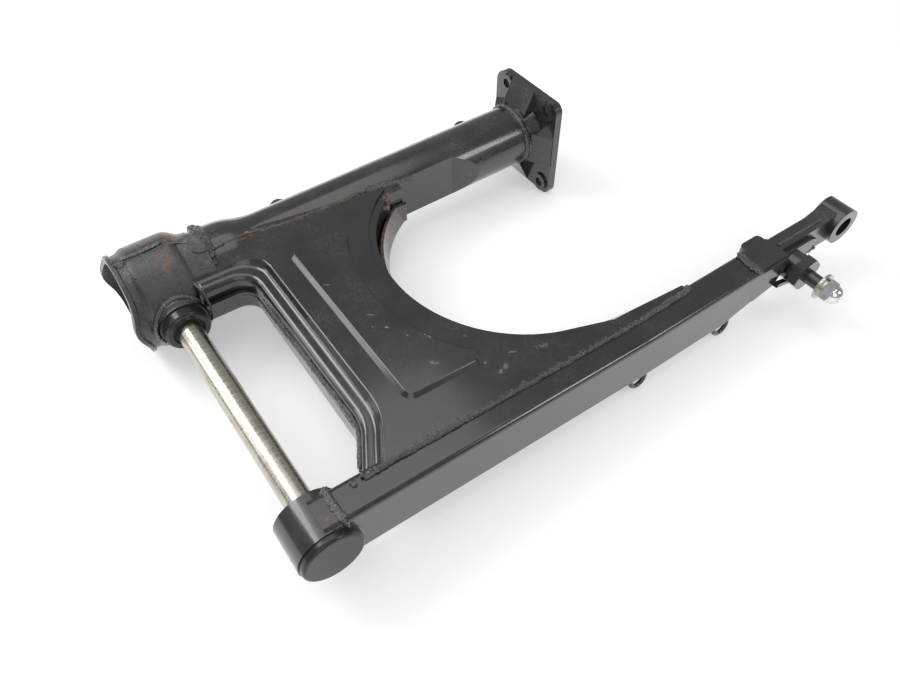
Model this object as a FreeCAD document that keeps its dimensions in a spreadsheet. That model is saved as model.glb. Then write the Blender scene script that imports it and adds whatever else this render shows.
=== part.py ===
import FreeCAD, Part
import math
import os

import Sketcher
from FreeCAD import Placement, Rotation, Vector

# Motorcycle swingarm with a drive shaft inside one side.
# Frame: origin on the pivot axis in the wheel's middle plane, +X to the rear axle,
# +Y to the side of the drive shaft, +Z up. All sizes in millimetres.

os.makedirs("parts", exist_ok=True)
doc = FreeCAD.newDocument("swingarm")
sheet = doc.addObject("Spreadsheet::Sheet", "Sizes")

SIZES = {
    # pivot line
    "collar_radius": 9.6,
    "collar_bore": 6.3,
    "boss_radius": 22.5,
    "bearing_seat": 15.0,
    "right_boss_inner": -100.0,
    "right_boss_outer": -131.0,
    "left_boss_face": 89.4,
    "left_boss_depth": 16.0,
    "left_boss_radius": 20.6,
    "left_boss_nose": 18.6,
    "blind_wall": 3.0,
    "cup_wall": 1.6,
    "needle_gap": 0.05,
    "needle_count": 16,
    "right_cup_length": 20.0,
    "left_cup_length": 12.0,
    "press_gap": 0.02,
    "seal_gap": 0.05,
    "seal_length": 4.0,
    "dust_ring_radius": 17.4,
    "dust_ring_length": 9.0,
    "cap_radius": 21.4,
    "cap_thickness": 5.5,
    "cap_rim": 2.4,
    # drive shaft side
    "shaft_offset": 133.0,
    "mouth_x": -28.0,
    "mouth_radius": 38.5,
    "lip_height": 1.8,
    "lip_width": 3.6,
    "lobe_length": 6.0,
    "lobe_height": 4.0,
    "lobe_width": 15.0,
    "bell_radius": 41.0,
    "bell_wall": 4.0,
    "shoulder_radius": 39.4,
    "shoulder_end": 38.0,
    "shoulder_low": 17.0,
    "shoulder_round": 9.0,
    "joint_x": 33.0,
    "swell_radius": 33.0,
    "swell_end": 90.0,
    "tube_radius": 27.0,
    "tube_wall": 3.0,
    "flat_offset": 18.0,
    "flat_start": 172.0,
    "flat_end": 262.0,
    "flat_ramp": 24.0,
    # rear flange
    "flange_x": 354.0,
    "flange_thickness": 7.0,
    "flange_top": 48.0,
    "flange_inner": 46.0,
    "flange_outer": 38.5,
    "inner_corner": 8.0,
    "outer_corner": 14.0,
    "bolt_inner": 34.0,
    "bolt_outer": 22.0,
    "bolt_up": 38.5,
    "flange_bolt_radius": 4.3,
    "flange_bore": 22.0,
    "bolt_pad_radius": 8.5,
    "bolt_pad_rise": 2.0,
    "neck_length": 17.0,
    "neck_flare": 5.0,
    "ramp_width": 30.0,
    # side beam
    "beam_outer": -130.5,
    "beam_width": 25.0,
    "beam_height": 46.0,
    "beam_corner": 4.0,
    "beam_wall": 2.5,
    "beam_mid_front": 1.5,
    "beam_bend_x": 263.0,
    "beam_drop": 12.5,
    "beam_end": 383.0,
    "taper_x": 350.0,
    "cheek_end": 410.0,
    "cheek_bottom": -17.0,
    # cross member
    "sheet": 3.0,
    "front_x": 58.0,
    "leg_y": 90.0,
    "leg_overhang": 2.6,
    "left_corner": 16.0,
    "right_corner": 40.0,
    "right_corner_y": -62.0,
    "ledge_width": 10.0,
    "ledge_drop": 6.0,
    "ledge_slope": 4.0,
    "ledge_round": 5.0,
    "step_round": 1.6,
    "leg_sink": 3.5,
    "leg_sink_start": 74.0,
    "leg_sink_end": 50.0,
    "arc_x": 251.0,
    "arc_y": 14.5,
    "arc_radius": 108.5,
    "arc_lip": 6.0,
    "arc_lip_drop": 2.2,
    "tab_y": 106.5,
    "tab_end": 206.0,
    "tail_end": 322.0,
    "tail_y": -104.0,
    "tail_turn_x": 222.0,
    "tail_join_x": 253.0,
    "tail_join_y": -101.8,
    "tail_drop": 9.0,
    "lap_y": -111.5,
    "panel_front": 88.0,
    "panel_left": 88.0,
    "panel_right": -82.0,
    "panel_margin": 21.0,
    "panel_corner": 9.0,
    "panel_rise": 3.0,
    "panel_slope": 3.4,
    "panel_round": 1.4,
    "upper_depth": 21.0,
    "lower_depth": 19.0,
    "lower_rise": 10.75,
    "lower_round": 6.0,
    "lap_gap": 0.3,
    "lower_flare": 5.0,
    # rear bracket and shock stud
    "axle_x": 490.0,
    "axle_z": -3.0,
    "eye_radius": 16.0,
    "eye_bore": 8.6,
    "eye_outer": -127.0,
    "eye_length": 23.0,
    "arm_inner": -105.5,
    "arm_thickness": 15.5,
    "arm_top": 8.5,
    "web_thickness": 4.0,
    "stud_x": 427.0,
    "stud_z": -9.5,
    "base_radius": 12.5,
    "base_length": 9.8,
    "hex_flats": 26.0,
    "hex_length": 8.5,
    "stud_radius": 6.0,
    "stud_length": 13.5,
    "thread_radius": 5.0,
    "wide_washer_radius": 11.2,
    "wide_washer_length": 2.0,
    "spring_washer_radius": 8.4,
    "spring_washer_length": 2.4,
    "nut_flats": 17.0,
    "nut_hex_length": 7.5,
    "nut_dome_radius": 7.6,
    # cable hoops
    "wire_radius": 1.9,
    "hoop_width": 15.0,
    "hoop_reach": 9.0,
}

for row, (alias, number) in enumerate(SIZES.items(), start=1):
    sheet.set("A%d" % row, alias.replace("_", " "))
    sheet.set("B%d" % row, str(number))
    sheet.setAlias("B%d" % row, alias)
doc.recompute()


def size(alias):
    return float(sheet.get(alias))


nodes = {}


def keep(label, thing):
    thing.Label = label
    nodes[label] = thing
    return thing


def keep_shape(label, shape, origin=Vector(0, 0, 0), turn=Rotation()):
    """Stores a shape given in the frame of the whole arm as a node with its own placement."""
    place = Placement(origin, turn)
    local = shape.copy()
    local.Placement = place.inverse().multiply(local.Placement)
    thing = doc.addObject("Part::Feature", label)
    thing.Shape = Part.Compound([local])
    thing.Placement = place
    return keep(label, thing)


def bind(thing, prop, formula):
    thing.setExpression(prop, formula)


# Simple turned pieces on the pivot axis or on the stud axis.
ALONG_Y = Rotation(Vector(1, 0, 0), -90)


def cylinder(name, radius, start, length, centre_x="0", centre_z="0"):
    """A cylinder along +Y; radius, start and length are formulas of the sheet."""
    thing = doc.addObject("Part::Cylinder", name)
    thing.Placement = Placement(Vector(0, 0, 0), ALONG_Y)
    bind(thing, "Radius", radius)
    bind(thing, "Height", length)
    bind(thing, "Placement.Base.x", centre_x)
    bind(thing, "Placement.Base.y", start)
    bind(thing, "Placement.Base.z", centre_z)
    return thing


def cut(name, base, tool):
    thing = doc.addObject("Part::Cut", name)
    thing.Base = base
    thing.Tool = tool
    return thing


def ring(name, outer, inner, start, length, centre_x="0", centre_z="0"):
    body = cylinder(name + "_outer", outer, start, length, centre_x, centre_z)
    hole = cylinder(name + "_hole", inner, start + " - 1", "(" + length + ") + 2", centre_x, centre_z)
    return cut(name, body, hole)


def edges_where(shape, test):
    return [edge for edge in shape.Edges if test(edge)]


def s_curve(first, last):
    """An edge that leaves the first point and reaches the last one along the axis."""
    middle = (first.x + last.x) / 2
    curve = Part.BezierCurve()
    curve.setPoles([first, Vector(middle, first.y, 0), Vector(middle, last.y, 0), last])
    return curve.toShape()


def chain(stations):
    edges = []
    for (x0, r0), (x1, r1) in zip(stations, stations[1:]):
        first, last = Vector(x0, r0, 0), Vector(x1, r1, 0)
        if abs(r0 - r1) < 1e-6 or abs(x0 - x1) < 1e-6:
            edges.append(Part.makeLine(first, last))
        else:
            edges.append(s_curve(first, last))
    return edges


def turned(stations, wall=None):
    """A body turned about the X axis from (x, radius) stations; wall leaves it hollow."""
    inner = [(x, 0.0 if wall is None else r - wall) for x, r in stations]
    if wall is None:
        inner = [inner[0], inner[-1]]
    edges = chain(stations)
    edges.append(Part.makeLine(Vector(*stations[-1], 0), Vector(*inner[-1], 0)))
    edges.extend(chain(inner))
    edges.append(Part.makeLine(Vector(*stations[0], 0), Vector(*inner[0], 0)))
    face = Part.Face(Part.Wire(Part.__sortEdges__(edges)))
    return face.revolve(Vector(0, 0, 0), Vector(1, 0, 0), 360)


def moved(shape, vector):
    copy = shape.copy()
    copy.translate(vector)
    return copy


def turned_on_pivot(stations, wall=None):
    """The same for (y, radius) stations about the pivot axis."""
    body = turned(stations, wall)
    body.rotate(Vector(0, 0, 0), Vector(0, 0, 1), 90)
    return body


def prism(points, start, length, normal):
    wire = Part.makePolygon([Vector(*p) for p in points + points[:1]])
    face = Part.Face(wire)
    return moved(face.extrude(normal * length), normal * start)


# Pivot line
seat = size("bearing_seat")
boss_face = size("left_boss_face")
boss_end = boss_face + size("left_boss_depth")
blind_y = boss_end - size("blind_wall")

right_boss = keep("right_boss", ring(
    "right_boss", "Sizes.boss_radius", "Sizes.bearing_seat",
    "Sizes.right_boss_outer", "Sizes.right_boss_inner - Sizes.right_boss_outer"))

left_boss_outer = turned_on_pivot([
    (boss_face, size("left_boss_nose")),
    (boss_face + 5.0, size("left_boss_radius")),
    (boss_end, size("left_boss_radius"))])
left_bore = turned_on_pivot([(boss_face - 1.0, seat), (blind_y, seat)])
keep_shape("left_boss", left_boss_outer.cut(left_bore), Vector(0, boss_face, 0))

collar_length = "Sizes.left_boss_face + Sizes.left_boss_depth - Sizes.blind_wall - Sizes.right_boss_outer - 1"
keep("pivot_collar", ring(
    "pivot_collar", "Sizes.collar_radius", "Sizes.collar_bore",
    "Sizes.right_boss_outer + 0.5", collar_length))


def bearing(side, start, length):
    """A drawn cup with turned-in ends and its set of needles in a cage."""
    outer = seat - size("press_gap")
    raceway = seat - size("cup_wall")
    collar = size("collar_radius")
    end_wall = 1.0
    end_hole = collar + 1.4
    cup = turned_on_pivot([(start, outer), (start + length, outer)])
    cup = cup.cut(turned_on_pivot([(start - 1, end_hole), (start + length + 1, end_hole)]))
    cup = cup.cut(turned_on_pivot([(start + end_wall, raceway), (start + length - end_wall, raceway)]))
    keep_shape(side + "_bearing_cup", cup, Vector(0, start, 0))
    gap = size("needle_gap")
    needle = (raceway - collar) / 2 - gap
    pitch = (raceway + collar) / 2
    low, high = start + end_wall + 0.3, start + length - end_wall - 0.3
    cage_ring = 0.9
    pieces = []
    for first in (low, high - cage_ring):
        plate = turned_on_pivot([(first, pitch + 0.9), (first + cage_ring, pitch + 0.9)])
        hole = turned_on_pivot([(first - 1, pitch - 0.9), (first + cage_ring + 1, pitch - 0.9)])
        pieces.append(plate.cut(hole))
    count = int(size("needle_count"))
    for index in range(count):
        angle = 2 * math.pi * index / count
        foot = Vector(pitch * math.cos(angle), low + 0.2, pitch * math.sin(angle))
        pieces.append(Part.makeCylinder(needle, high - low - 0.4, foot, Vector(0, 1, 0)))
    needles = pieces[0].multiFuse(pieces[1:])
    keep_shape(side + "_needles", needles, Vector(0, start, 0))


seal_end = size("right_boss_inner") - 0.3 - size("seal_length")
bearing("right", seal_end - 0.3 - size("right_cup_length"), size("right_cup_length"))
bearing("left", blind_y - 0.3 - size("left_cup_length"), size("left_cup_length"))

keep("right_seal", ring(
    "right_seal", "Sizes.bearing_seat - Sizes.press_gap", "Sizes.collar_radius + Sizes.seal_gap",
    "Sizes.right_boss_inner - 0.3 - Sizes.seal_length", "Sizes.seal_length"))

ring_face = boss_face - size("dust_ring_length")
ring_bore = size("dust_ring_radius") - 5.0
dust_ring = turned_on_pivot([
    (ring_face, size("dust_ring_radius") - 1.6),
    (ring_face + 1.8, size("dust_ring_radius")),
    (boss_face, size("dust_ring_radius"))])
dust_ring = dust_ring.cut(turned_on_pivot([(ring_face - 1, ring_bore), (boss_face + 1, ring_bore)]))
keep_shape("left_dust_ring", dust_ring, Vector(0, ring_face, 0))
keep("left_seal", ring(
    "left_seal", "Sizes.dust_ring_radius - 5 - Sizes.press_gap", "Sizes.collar_radius + Sizes.seal_gap",
    "Sizes.left_boss_face - Sizes.dust_ring_length + 1.5", "Sizes.dust_ring_length - 2.5"))


# Sketch helpers for the bodies made of features
def new_body(label):
    return keep(label, doc.addObject("PartDesign::Body", label))


def new_sketch(body, role, shift="0"):
    sketch = body.newObject("Sketcher::SketchObject", body.Label + "_sketch")
    plane = next(item for item in body.Origin.OriginFeatures if item.Role == role)
    sketch.AttachmentSupport = [(plane, "")]
    sketch.MapMode = "FlatFace"
    bind(sketch, "AttachmentOffset.Base.z", shift)
    return sketch


def draw_circle(sketch, radius, at_x=None, at_y=None):
    index = sketch.addGeometry(Part.Circle(Vector(1, 1, 0), Vector(0, 0, 1), 5), False)
    named(sketch, Sketcher.Constraint("Radius", index, 5), radius)
    named(sketch, Sketcher.Constraint("DistanceX", -1, 1, index, 3, 1), at_x or "0")
    named(sketch, Sketcher.Constraint("DistanceY", -1, 1, index, 3, 1), at_y or "0")
    return index


def named(sketch, constraint, formula):
    index = sketch.addConstraint(constraint)
    sketch.renameConstraint(index, "size_%d" % index)
    bind(sketch, "Constraints.size_%d" % index, formula)


def draw_plate(sketch, left, right, bottom, top):
    """A rectangle between four distances from the origin."""
    corners = [Vector(-1, -1, 0), Vector(1, -1, 0), Vector(1, 1, 0), Vector(-1, 1, 0)]
    lines = []
    for first, last in zip(corners, corners[1:] + corners[:1]):
        lines.append(sketch.addGeometry(Part.LineSegment(first * 20, last * 20), False))
    for first, last in zip(lines, lines[1:] + lines[:1]):
        sketch.addConstraint(Sketcher.Constraint("Coincident", first, 2, last, 1))
    for line, way in zip(lines, ("Horizontal", "Vertical", "Horizontal", "Vertical")):
        sketch.addConstraint(Sketcher.Constraint(way, line))
    named(sketch, Sketcher.Constraint("DistanceX", lines[0], 1, -1, 1, 20), left)
    named(sketch, Sketcher.Constraint("DistanceY", lines[0], 1, -1, 1, 20), bottom)
    named(sketch, Sketcher.Constraint("DistanceX", -1, 1, lines[2], 1, 20), right)
    named(sketch, Sketcher.Constraint("DistanceY", -1, 1, lines[2], 1, 20), top)


def pad(body, sketch, length, backwards=False):
    feature = body.newObject("PartDesign::Pad", body.Label + "_pad")
    feature.Profile = sketch
    bind(feature, "Length", length)
    feature.Reversed = backwards
    doc.recompute()
    return feature


def pocket(body, sketch, length, backwards=False):
    feature = body.newObject("PartDesign::Pocket", body.Label + "_pocket")
    feature.Profile = sketch
    bind(feature, "Length", length)
    feature.Reversed = backwards
    doc.recompute()
    return feature


def soften(body, base, names, radius):
    feature = body.newObject("PartDesign::Fillet", body.Label + "_fillet")
    feature.Base = (base, names)
    bind(feature, "Radius", radius)
    doc.recompute()
    return feature


def edge_names(shape, test):
    return ["Edge%d" % (i + 1) for i, edge in enumerate(shape.Edges) if test(edge)]


def is_circle(edge, radius, axis, level):
    """True for a full circle of the radius whose centre lies at the level on the axis."""
    if not isinstance(edge.Curve, Part.Circle):
        return False
    centre = edge.Curve.Center
    along = (centre.x, centre.y, centre.z)[axis]
    return abs(edge.Curve.Radius - radius) < 1e-4 and abs(along - level) < 1e-4


# Closed cap on the right boss: a disc with a rounded rim and a spigot in the bore.
cap = new_body("right_end_cap")
cap_sketch = new_sketch(cap, "XZ_Plane", "-Sizes.right_boss_outer")
draw_circle(cap_sketch, "Sizes.cap_radius")
disc = pad(cap, cap_sketch, "Sizes.cap_thickness")
cap_face = size("right_boss_outer") - size("cap_thickness")
rim = edge_names(disc.Shape, lambda e: is_circle(e, size("cap_radius"), 1, cap_face))
soften(cap, disc, rim, "Sizes.cap_rim")
spigot_sketch = new_sketch(cap, "XZ_Plane", "-Sizes.right_boss_outer")
draw_circle(spigot_sketch, "Sizes.bearing_seat - Sizes.press_gap")
pad(cap, spigot_sketch, "4", backwards=True)
recess_sketch = new_sketch(cap, "XZ_Plane", "-Sizes.right_boss_outer - 4")
draw_circle(recess_sketch, "Sizes.bearing_seat - 2.5")
pocket(cap, recess_sketch, "5.5", backwards=True)

# Drive shaft tube with a swell at the front and a pressed tyre flat
shaft_y = size("shaft_offset")
ON_SHAFT = Vector(0, shaft_y, 0)
joint_x = size("joint_x")
tube_wall = size("tube_wall")
tube_end = size("flange_x") - size("neck_length")
tube_stations = [
    (joint_x, size("swell_radius")),
    (joint_x + 17.0, size("swell_radius")),
    (size("swell_end"), size("tube_radius")),
    (tube_end, size("tube_radius"))]


def flat_cutter(depth):
    """What the pressed flat takes off, with ramps at both ends; depth moves it inwards."""
    side = size("tube_radius") + 3.0
    flat = -size("flat_offset") + depth
    ramp = size("flat_ramp") * (side - size("flat_offset")) / (size("tube_radius") - size("flat_offset"))
    outline = [
        (size("flat_start") - ramp, -side + depth, 0), (size("flat_start"), flat, 0),
        (size("flat_end"), flat, 0), (size("flat_end") + ramp, -side + depth, 0),
        (size("flat_end") + ramp, -side - 9, 0), (size("flat_start") - ramp, -side - 9, 0)]
    return prism(outline, -60, 120, Vector(0, 0, 1))


tube_outer = turned(tube_stations).cut(flat_cutter(0))
tube_inner = turned([(x, r - tube_wall) for x, r in tube_stations]).cut(flat_cutter(tube_wall))
tube_outer_world = moved(tube_outer, ON_SHAFT)
keep_shape("shaft_tube", moved(tube_outer.cut(tube_inner), ON_SHAFT), ON_SHAFT)

# Bell housing of the universal joint: its mouth reaches forward at both sides
mouth, mouth_radius = size("mouth_x"), size("mouth_radius")
lobe_length, lobe_height = size("lobe_length"), size("lobe_height")
bell_stations = [
    (mouth - lobe_length - 4.0, mouth_radius),
    (mouth + 6.0, mouth_radius),
    (mouth + 14.0, size("bell_radius")),
    (14.0, size("bell_radius")),
    (joint_x, size("swell_radius") + 0.8)]


def rim_x(z):
    """Where the edge of the mouth lies at a height: a soft lobe on a flat edge."""
    return mouth - lobe_length * math.exp(-((z - lobe_height) / size("lobe_width")) ** 2)


def smooth(points):
    curve = Part.BSplineCurve()
    curve.interpolate(points)
    return curve.toShape()


def on_outside(edge, radius):
    """True for an edge that runs round the X axis at a radius."""
    middle = edge.valueAt((edge.FirstParameter + edge.LastParameter) / 2)
    return abs(math.hypot(middle.y, middle.z) - radius) < 0.01 and edge.Length > 20


RIM_STEPS = 48
bell_reach = 60.0
heights = [bell_reach - 2 * bell_reach * step / RIM_STEPS for step in range(RIM_STEPS + 1)]
front_edge = smooth([Vector(rim_x(z), -bell_reach, z) for z in heights])
in_front = [
    Vector(rim_x(-bell_reach), -bell_reach, -bell_reach), Vector(mouth - 60, -bell_reach, -bell_reach),
    Vector(mouth - 60, -bell_reach, bell_reach), Vector(rim_x(bell_reach), -bell_reach, bell_reach)]
room_ahead = Part.Face(Part.Wire([front_edge] + Part.makePolygon(in_front).Edges))
room_ahead = room_ahead.extrude(Vector(0, 2 * bell_reach, 0))

# The rolled lip follows the edge of the mouth
lip_height, lip_width = size("lip_height"), size("lip_width")
lip_ring = turned([(mouth - 30.0, mouth_radius + lip_height), (mouth + 30.0, mouth_radius + lip_height)],
                  lip_height + size("bell_wall") / 2)
lip = lip_ring.common(moved(room_ahead, Vector(lip_width, 0, 0))).cut(room_ahead)
lip = lip.makeFillet(lip_height * 0.45, edges_where(lip, lambda e: on_outside(e, mouth_radius + lip_height)))

# The shoulder where the cross member's leg meets the bell
shoulder_low, shoulder_end = size("shoulder_low"), size("shoulder_end")
shoulder = Part.makeCylinder(size("shoulder_radius"), shoulder_end, Vector(0, 0, 0), Vector(1, 0, 0))
shoulder_box = Part.makeBox(shoulder_end, 60, 60, Vector(0, -60, shoulder_low))
corner_edge = edges_where(shoulder_box, lambda e: e.BoundBox.YLength > 50 and e.BoundBox.XMin > 1
                          and e.BoundBox.ZMax < shoulder_low + 1)
shoulder_box = shoulder_box.makeFillet(size("shoulder_round"), corner_edge)
shoulder = shoulder.common(shoulder_box)

bell_solid = turned(bell_stations).cut(room_ahead).fuse(shoulder)
bell = turned(bell_stations, size("bell_wall")).cut(room_ahead)
mouth_bore = mouth_radius - size("bell_wall")
joint_room = turned([(x, radius - size("bell_wall")) for x, radius in bell_stations])
shaft_room = turned([(x, radius + 0.1) for x, radius in tube_stations])
bell = bell.fuse(lip).fuse(shoulder.cut(joint_room).cut(shaft_room))
bell = bell.cut(turned([(mouth - 20, mouth_bore), (mouth + 4, mouth_bore)]))
boss_radius = size("left_boss_radius")
boss_room = turned_on_pivot([(boss_face - 20, boss_radius), (boss_end, boss_radius)])
bell = moved(bell, ON_SHAFT).cut(boss_room)
keep_shape("bell_housing", bell, ON_SHAFT)
bell_solid_world = moved(bell_solid, ON_SHAFT)

# Rear flange: plate, bolt pads, neck and four flat ramps in one casting
flange = new_body("rear_flange")
flange.Placement = Placement(ON_SHAFT, Rotation())
bind(flange, "Placement.Base.y", "Sizes.shaft_offset")
plate_sketch = new_sketch(flange, "YZ_Plane", "Sizes.flange_x")
draw_plate(plate_sketch, "Sizes.flange_inner", "Sizes.flange_outer", "Sizes.flange_top", "Sizes.flange_top")
plate = pad(flange, plate_sketch, "Sizes.flange_thickness")
for corner_size, outboard in (("Sizes.inner_corner", False), ("Sizes.outer_corner", True)):
    upright = edge_names(plate.Shape, lambda e: e.BoundBox.XLength > 1 and (e.BoundBox.YMin > 0) == outboard
                         and abs(e.BoundBox.ZMax) > size("flange_top") - 1e-3)
    plate = soften(flange, plate, upright, corner_size)
BOLTS = [(y, z) for y in ("Sizes.bolt_outer", "-Sizes.bolt_inner")
         for z in ("Sizes.bolt_up", "-Sizes.bolt_up")]
pad_sketch = new_sketch(flange, "YZ_Plane", "Sizes.flange_x")
for side_y, side_z in BOLTS:
    draw_circle(pad_sketch, "Sizes.bolt_pad_radius", side_y, side_z)
pad(flange, pad_sketch, "Sizes.bolt_pad_rise", backwards=True)
doc.recompute()


def slanted_lines(sketch, points):
    """A closed outline from pairs of formulas."""
    count = len(points)
    for index in range(count):
        first, last = Vector(index, 3 * index % 7, 0), Vector(index + 1, 3 * (index + 1) % 7, 0)
        sketch.addGeometry(Part.LineSegment(first, last), False)
    for index, (across, up) in enumerate(points):
        after = (index - 1) % count
        sketch.addConstraint(Sketcher.Constraint("Coincident", after, 2, index, 1))
        named(sketch, Sketcher.Constraint("DistanceX", -1, 1, index, 1, 1), across)
        named(sketch, Sketcher.Constraint("DistanceY", -1, 1, index, 1, 1), up)


neck_start = "Sizes.flange_x - Sizes.neck_length"
neck_sketch = new_sketch(flange, "XZ_Plane")
slanted_lines(neck_sketch, [
    (neck_start, "Sizes.flange_bore"),
    (neck_start, "Sizes.tube_radius"),
    (neck_start + " + 8", "Sizes.tube_radius + 1.5"),
    ("Sizes.flange_x + 1", "Sizes.tube_radius + Sizes.neck_flare"),
    ("Sizes.flange_x + 1", "Sizes.flange_bore")])
neck = flange.newObject("PartDesign::Revolution", "rear_flange_neck")
neck.Profile = neck_sketch
neck.ReferenceAxis = (neck_sketch, ["H_Axis"])
neck.Angle = 360
doc.recompute()
RAMPS = (
    (0, "Sizes.flange_top"), (90, "Sizes.flange_inner"),
    (180, "Sizes.flange_top"), (270, "Sizes.flange_outer"))
for turn, reach in RAMPS:
    ramp_sketch = new_sketch(flange, "XZ_Plane")
    ramp_sketch.AttachmentOffset = Placement(Vector(0, 0, 0), Rotation(Vector(1, 0, 0), turn))
    slanted_lines(ramp_sketch, [
        (neck_start + " + 7", "Sizes.tube_radius - 3"),
        ("Sizes.flange_x + 1", "Sizes.tube_radius - 3"),
        ("Sizes.flange_x + 1", reach + " - 0.6"),
        ("Sizes.flange_x - 0.5", reach + " - 0.6"),
        (neck_start + " + 7", "Sizes.tube_radius + 0.6")])
    ramp = pad(flange, ramp_sketch, "Sizes.ramp_width")
    ramp.Midplane = True
    doc.recompute()
bore_sketch = new_sketch(flange, "YZ_Plane", "Sizes.flange_x + Sizes.flange_thickness")
draw_circle(bore_sketch, "Sizes.flange_bore")
pocket(flange, bore_sketch, "Sizes.flange_thickness + Sizes.neck_length + 1")
bolt_sketch = new_sketch(flange, "YZ_Plane", "Sizes.flange_x + Sizes.flange_thickness")
for side_y, side_z in BOLTS:
    draw_circle(bolt_sketch, "Sizes.flange_bolt_radius", side_y, side_z)
pocket(flange, bolt_sketch, "Sizes.flange_thickness + Sizes.neck_length")

# Side beam: a bent box section, notched round the boss, with a tapered end and an outer cheek
beam_y = size("beam_outer")
beam_half = size("beam_height") / 2
bend_x, beam_end = size("beam_bend_x"), size("beam_end")
mid_front = size("beam_mid_front")
mid_rear = mid_front - size("beam_drop")
cheek_end, cheek_bottom = size("cheek_end"), size("cheek_bottom")
taper_x = size("taper_x")
taper_slope = (cheek_bottom - (mid_rear - beam_half)) / (cheek_end - taper_x)


def beam_outline(inset, last):
    """Side view of the beam from the pivot to the x position last, inset by a wall."""
    low = mid_rear - beam_half + inset
    return [
        (0, 0, mid_front + beam_half - inset), (bend_x, 0, mid_rear + beam_half - inset),
        (last, 0, mid_rear + beam_half - inset), (last, 0, low + taper_slope * (last - taper_x)),
        (taper_x, 0, low), (bend_x, 0, low), (0, 0, mid_front - beam_half + inset)]


def rounded_bar(outline, start, width, radius):
    bar = prism(outline, start, width, Vector(0, 1, 0))
    sides = (start, start + width)
    long_edges = edges_where(bar, lambda e: e.BoundBox.YLength < 1e-3 and e.BoundBox.XLength > 5)
    long_edges = [e for e in long_edges if min(abs(e.BoundBox.YMin - y) for y in sides) < 1e-3]
    return bar.makeFillet(radius, long_edges)


wall = size("beam_wall")
beam_width, corner = size("beam_width"), size("beam_corner")
beam_solid = rounded_bar(beam_outline(0, beam_end), beam_y, beam_width, corner)
beam_room = rounded_bar(beam_outline(wall, beam_end + 5), beam_y + wall, beam_width - 2 * wall, corner - wall)
boss_solid = turned_on_pivot([(beam_y - 5, size("boss_radius")), (beam_y + 40, size("boss_radius"))])
cheek_top = mid_rear + beam_half - corner
cheek_low = mid_rear - beam_half + taper_slope * (beam_end - taper_x)
cheek = prism([
    (beam_end - 1, 0, cheek_top), (cheek_end + 2, 0, cheek_top), (cheek_end + 3, 0, cheek_top - 7),
    (cheek_end - 5, 0, cheek_bottom - 1), (beam_end - 1, 0, cheek_low + 1.5)],
    beam_y, wall, Vector(0, 1, 0))
beam = beam_solid.cut(beam_room).fuse(cheek)
front_cap = Part.makeBox(30, 60, 90, Vector(-30, beam_y - 10, -45))
beam = beam.cut(boss_solid).cut(front_cap)
beam = max(beam.Solids, key=lambda solid: solid.Volume)
keep_shape("side_beam", beam, Vector(0, beam_y, 0))

# Cross member: two pressed shells around the front window and the wheel arc
front_x = size("front_x")
leg_y = size("leg_y")


def rounded_face(points):
    """A face from points (x, y) and arcs ((x, y) middle point, then its end)."""
    edges = []
    last = Vector(*points[0], 0)
    for item in points[1:]:
        if isinstance(item[0], tuple):
            middle, end = Vector(*item[0], 0), Vector(*item[1], 0)
            edges.append(Part.Arc(last, middle, end).toShape())
        else:
            end = Vector(*item, 0)
            edges.append(Part.makeLine(last, end))
        last = end
    edges.append(Part.makeLine(last, Vector(*points[0], 0)))
    return Part.Wire(edges)


def on_circle(centre, radius, degrees):
    angle = math.radians(degrees)
    return (centre[0] + radius * math.cos(angle), centre[1] + radius * math.sin(angle))


def window(grow, tight=0.0):
    """The window ahead of the cross member, grown into the metal."""
    left = size("left_corner") - tight + grow
    left_centre = (front_x + grow - left, leg_y + grow - left)
    right = size("right_corner") + grow
    right_centre = (front_x - size("right_corner"), size("right_corner_y"))
    turn = on_circle(right_centre, right, -30)
    end = (turn[0] - 30, turn[1] - 30 * math.sqrt(3))
    return rounded_face([
        (-90, leg_y + grow),
        (left_centre[0], leg_y + grow),
        (on_circle(left_centre, left, 45), (front_x + grow, left_centre[1])),
        (front_x + grow, right_centre[1]),
        (on_circle(right_centre, right, -15), turn),
        end,
        (-90, end[1])])


def wheel_room(grow_low, low, grow_high=None, high=20.0):
    """The room of the wheel behind the cross member, grown into the metal, wider at one end."""
    grow_high = grow_low if grow_high is None else grow_high
    centre_x, centre_y = size("arc_x"), size("arc_y")
    radius_low, radius_high = size("arc_radius") + grow_low, size("arc_radius") + grow_high
    foot = Vector(centre_x, centre_y, low)
    if grow_low == grow_high:
        front = Part.makeCylinder(radius_low, high - low, foot)
    else:
        front = Part.makeCone(radius_low, radius_high, high - low, foot)
    top = size("tab_y") + grow_low
    corner_point = Vector(centre_x - 200, centre_y - 200, -100)
    front = front.common(Part.makeBox(200, top - centre_y + 200, 200, corner_point))
    wires = []
    for grow, radius, level in ((grow_low, radius_low, low), (grow_high, radius_high, high)):
        corners = [
            (centre_x, centre_y - radius), (size("tail_end") + 20, size("tail_y") - grow),
            (560, size("tail_y") - grow), (560, top), (centre_x, top), (centre_x, centre_y - radius)]
        wires.append(Part.makePolygon([Vector(x, y, level) for x, y in corners]))
    if grow_low == grow_high:
        tail = Part.Face(wires[0]).extrude(Vector(0, 0, high - low))
    else:
        tail = Part.makeLoft(wires, True, True)
    return front.fuse(tail).removeSplitter()


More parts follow.
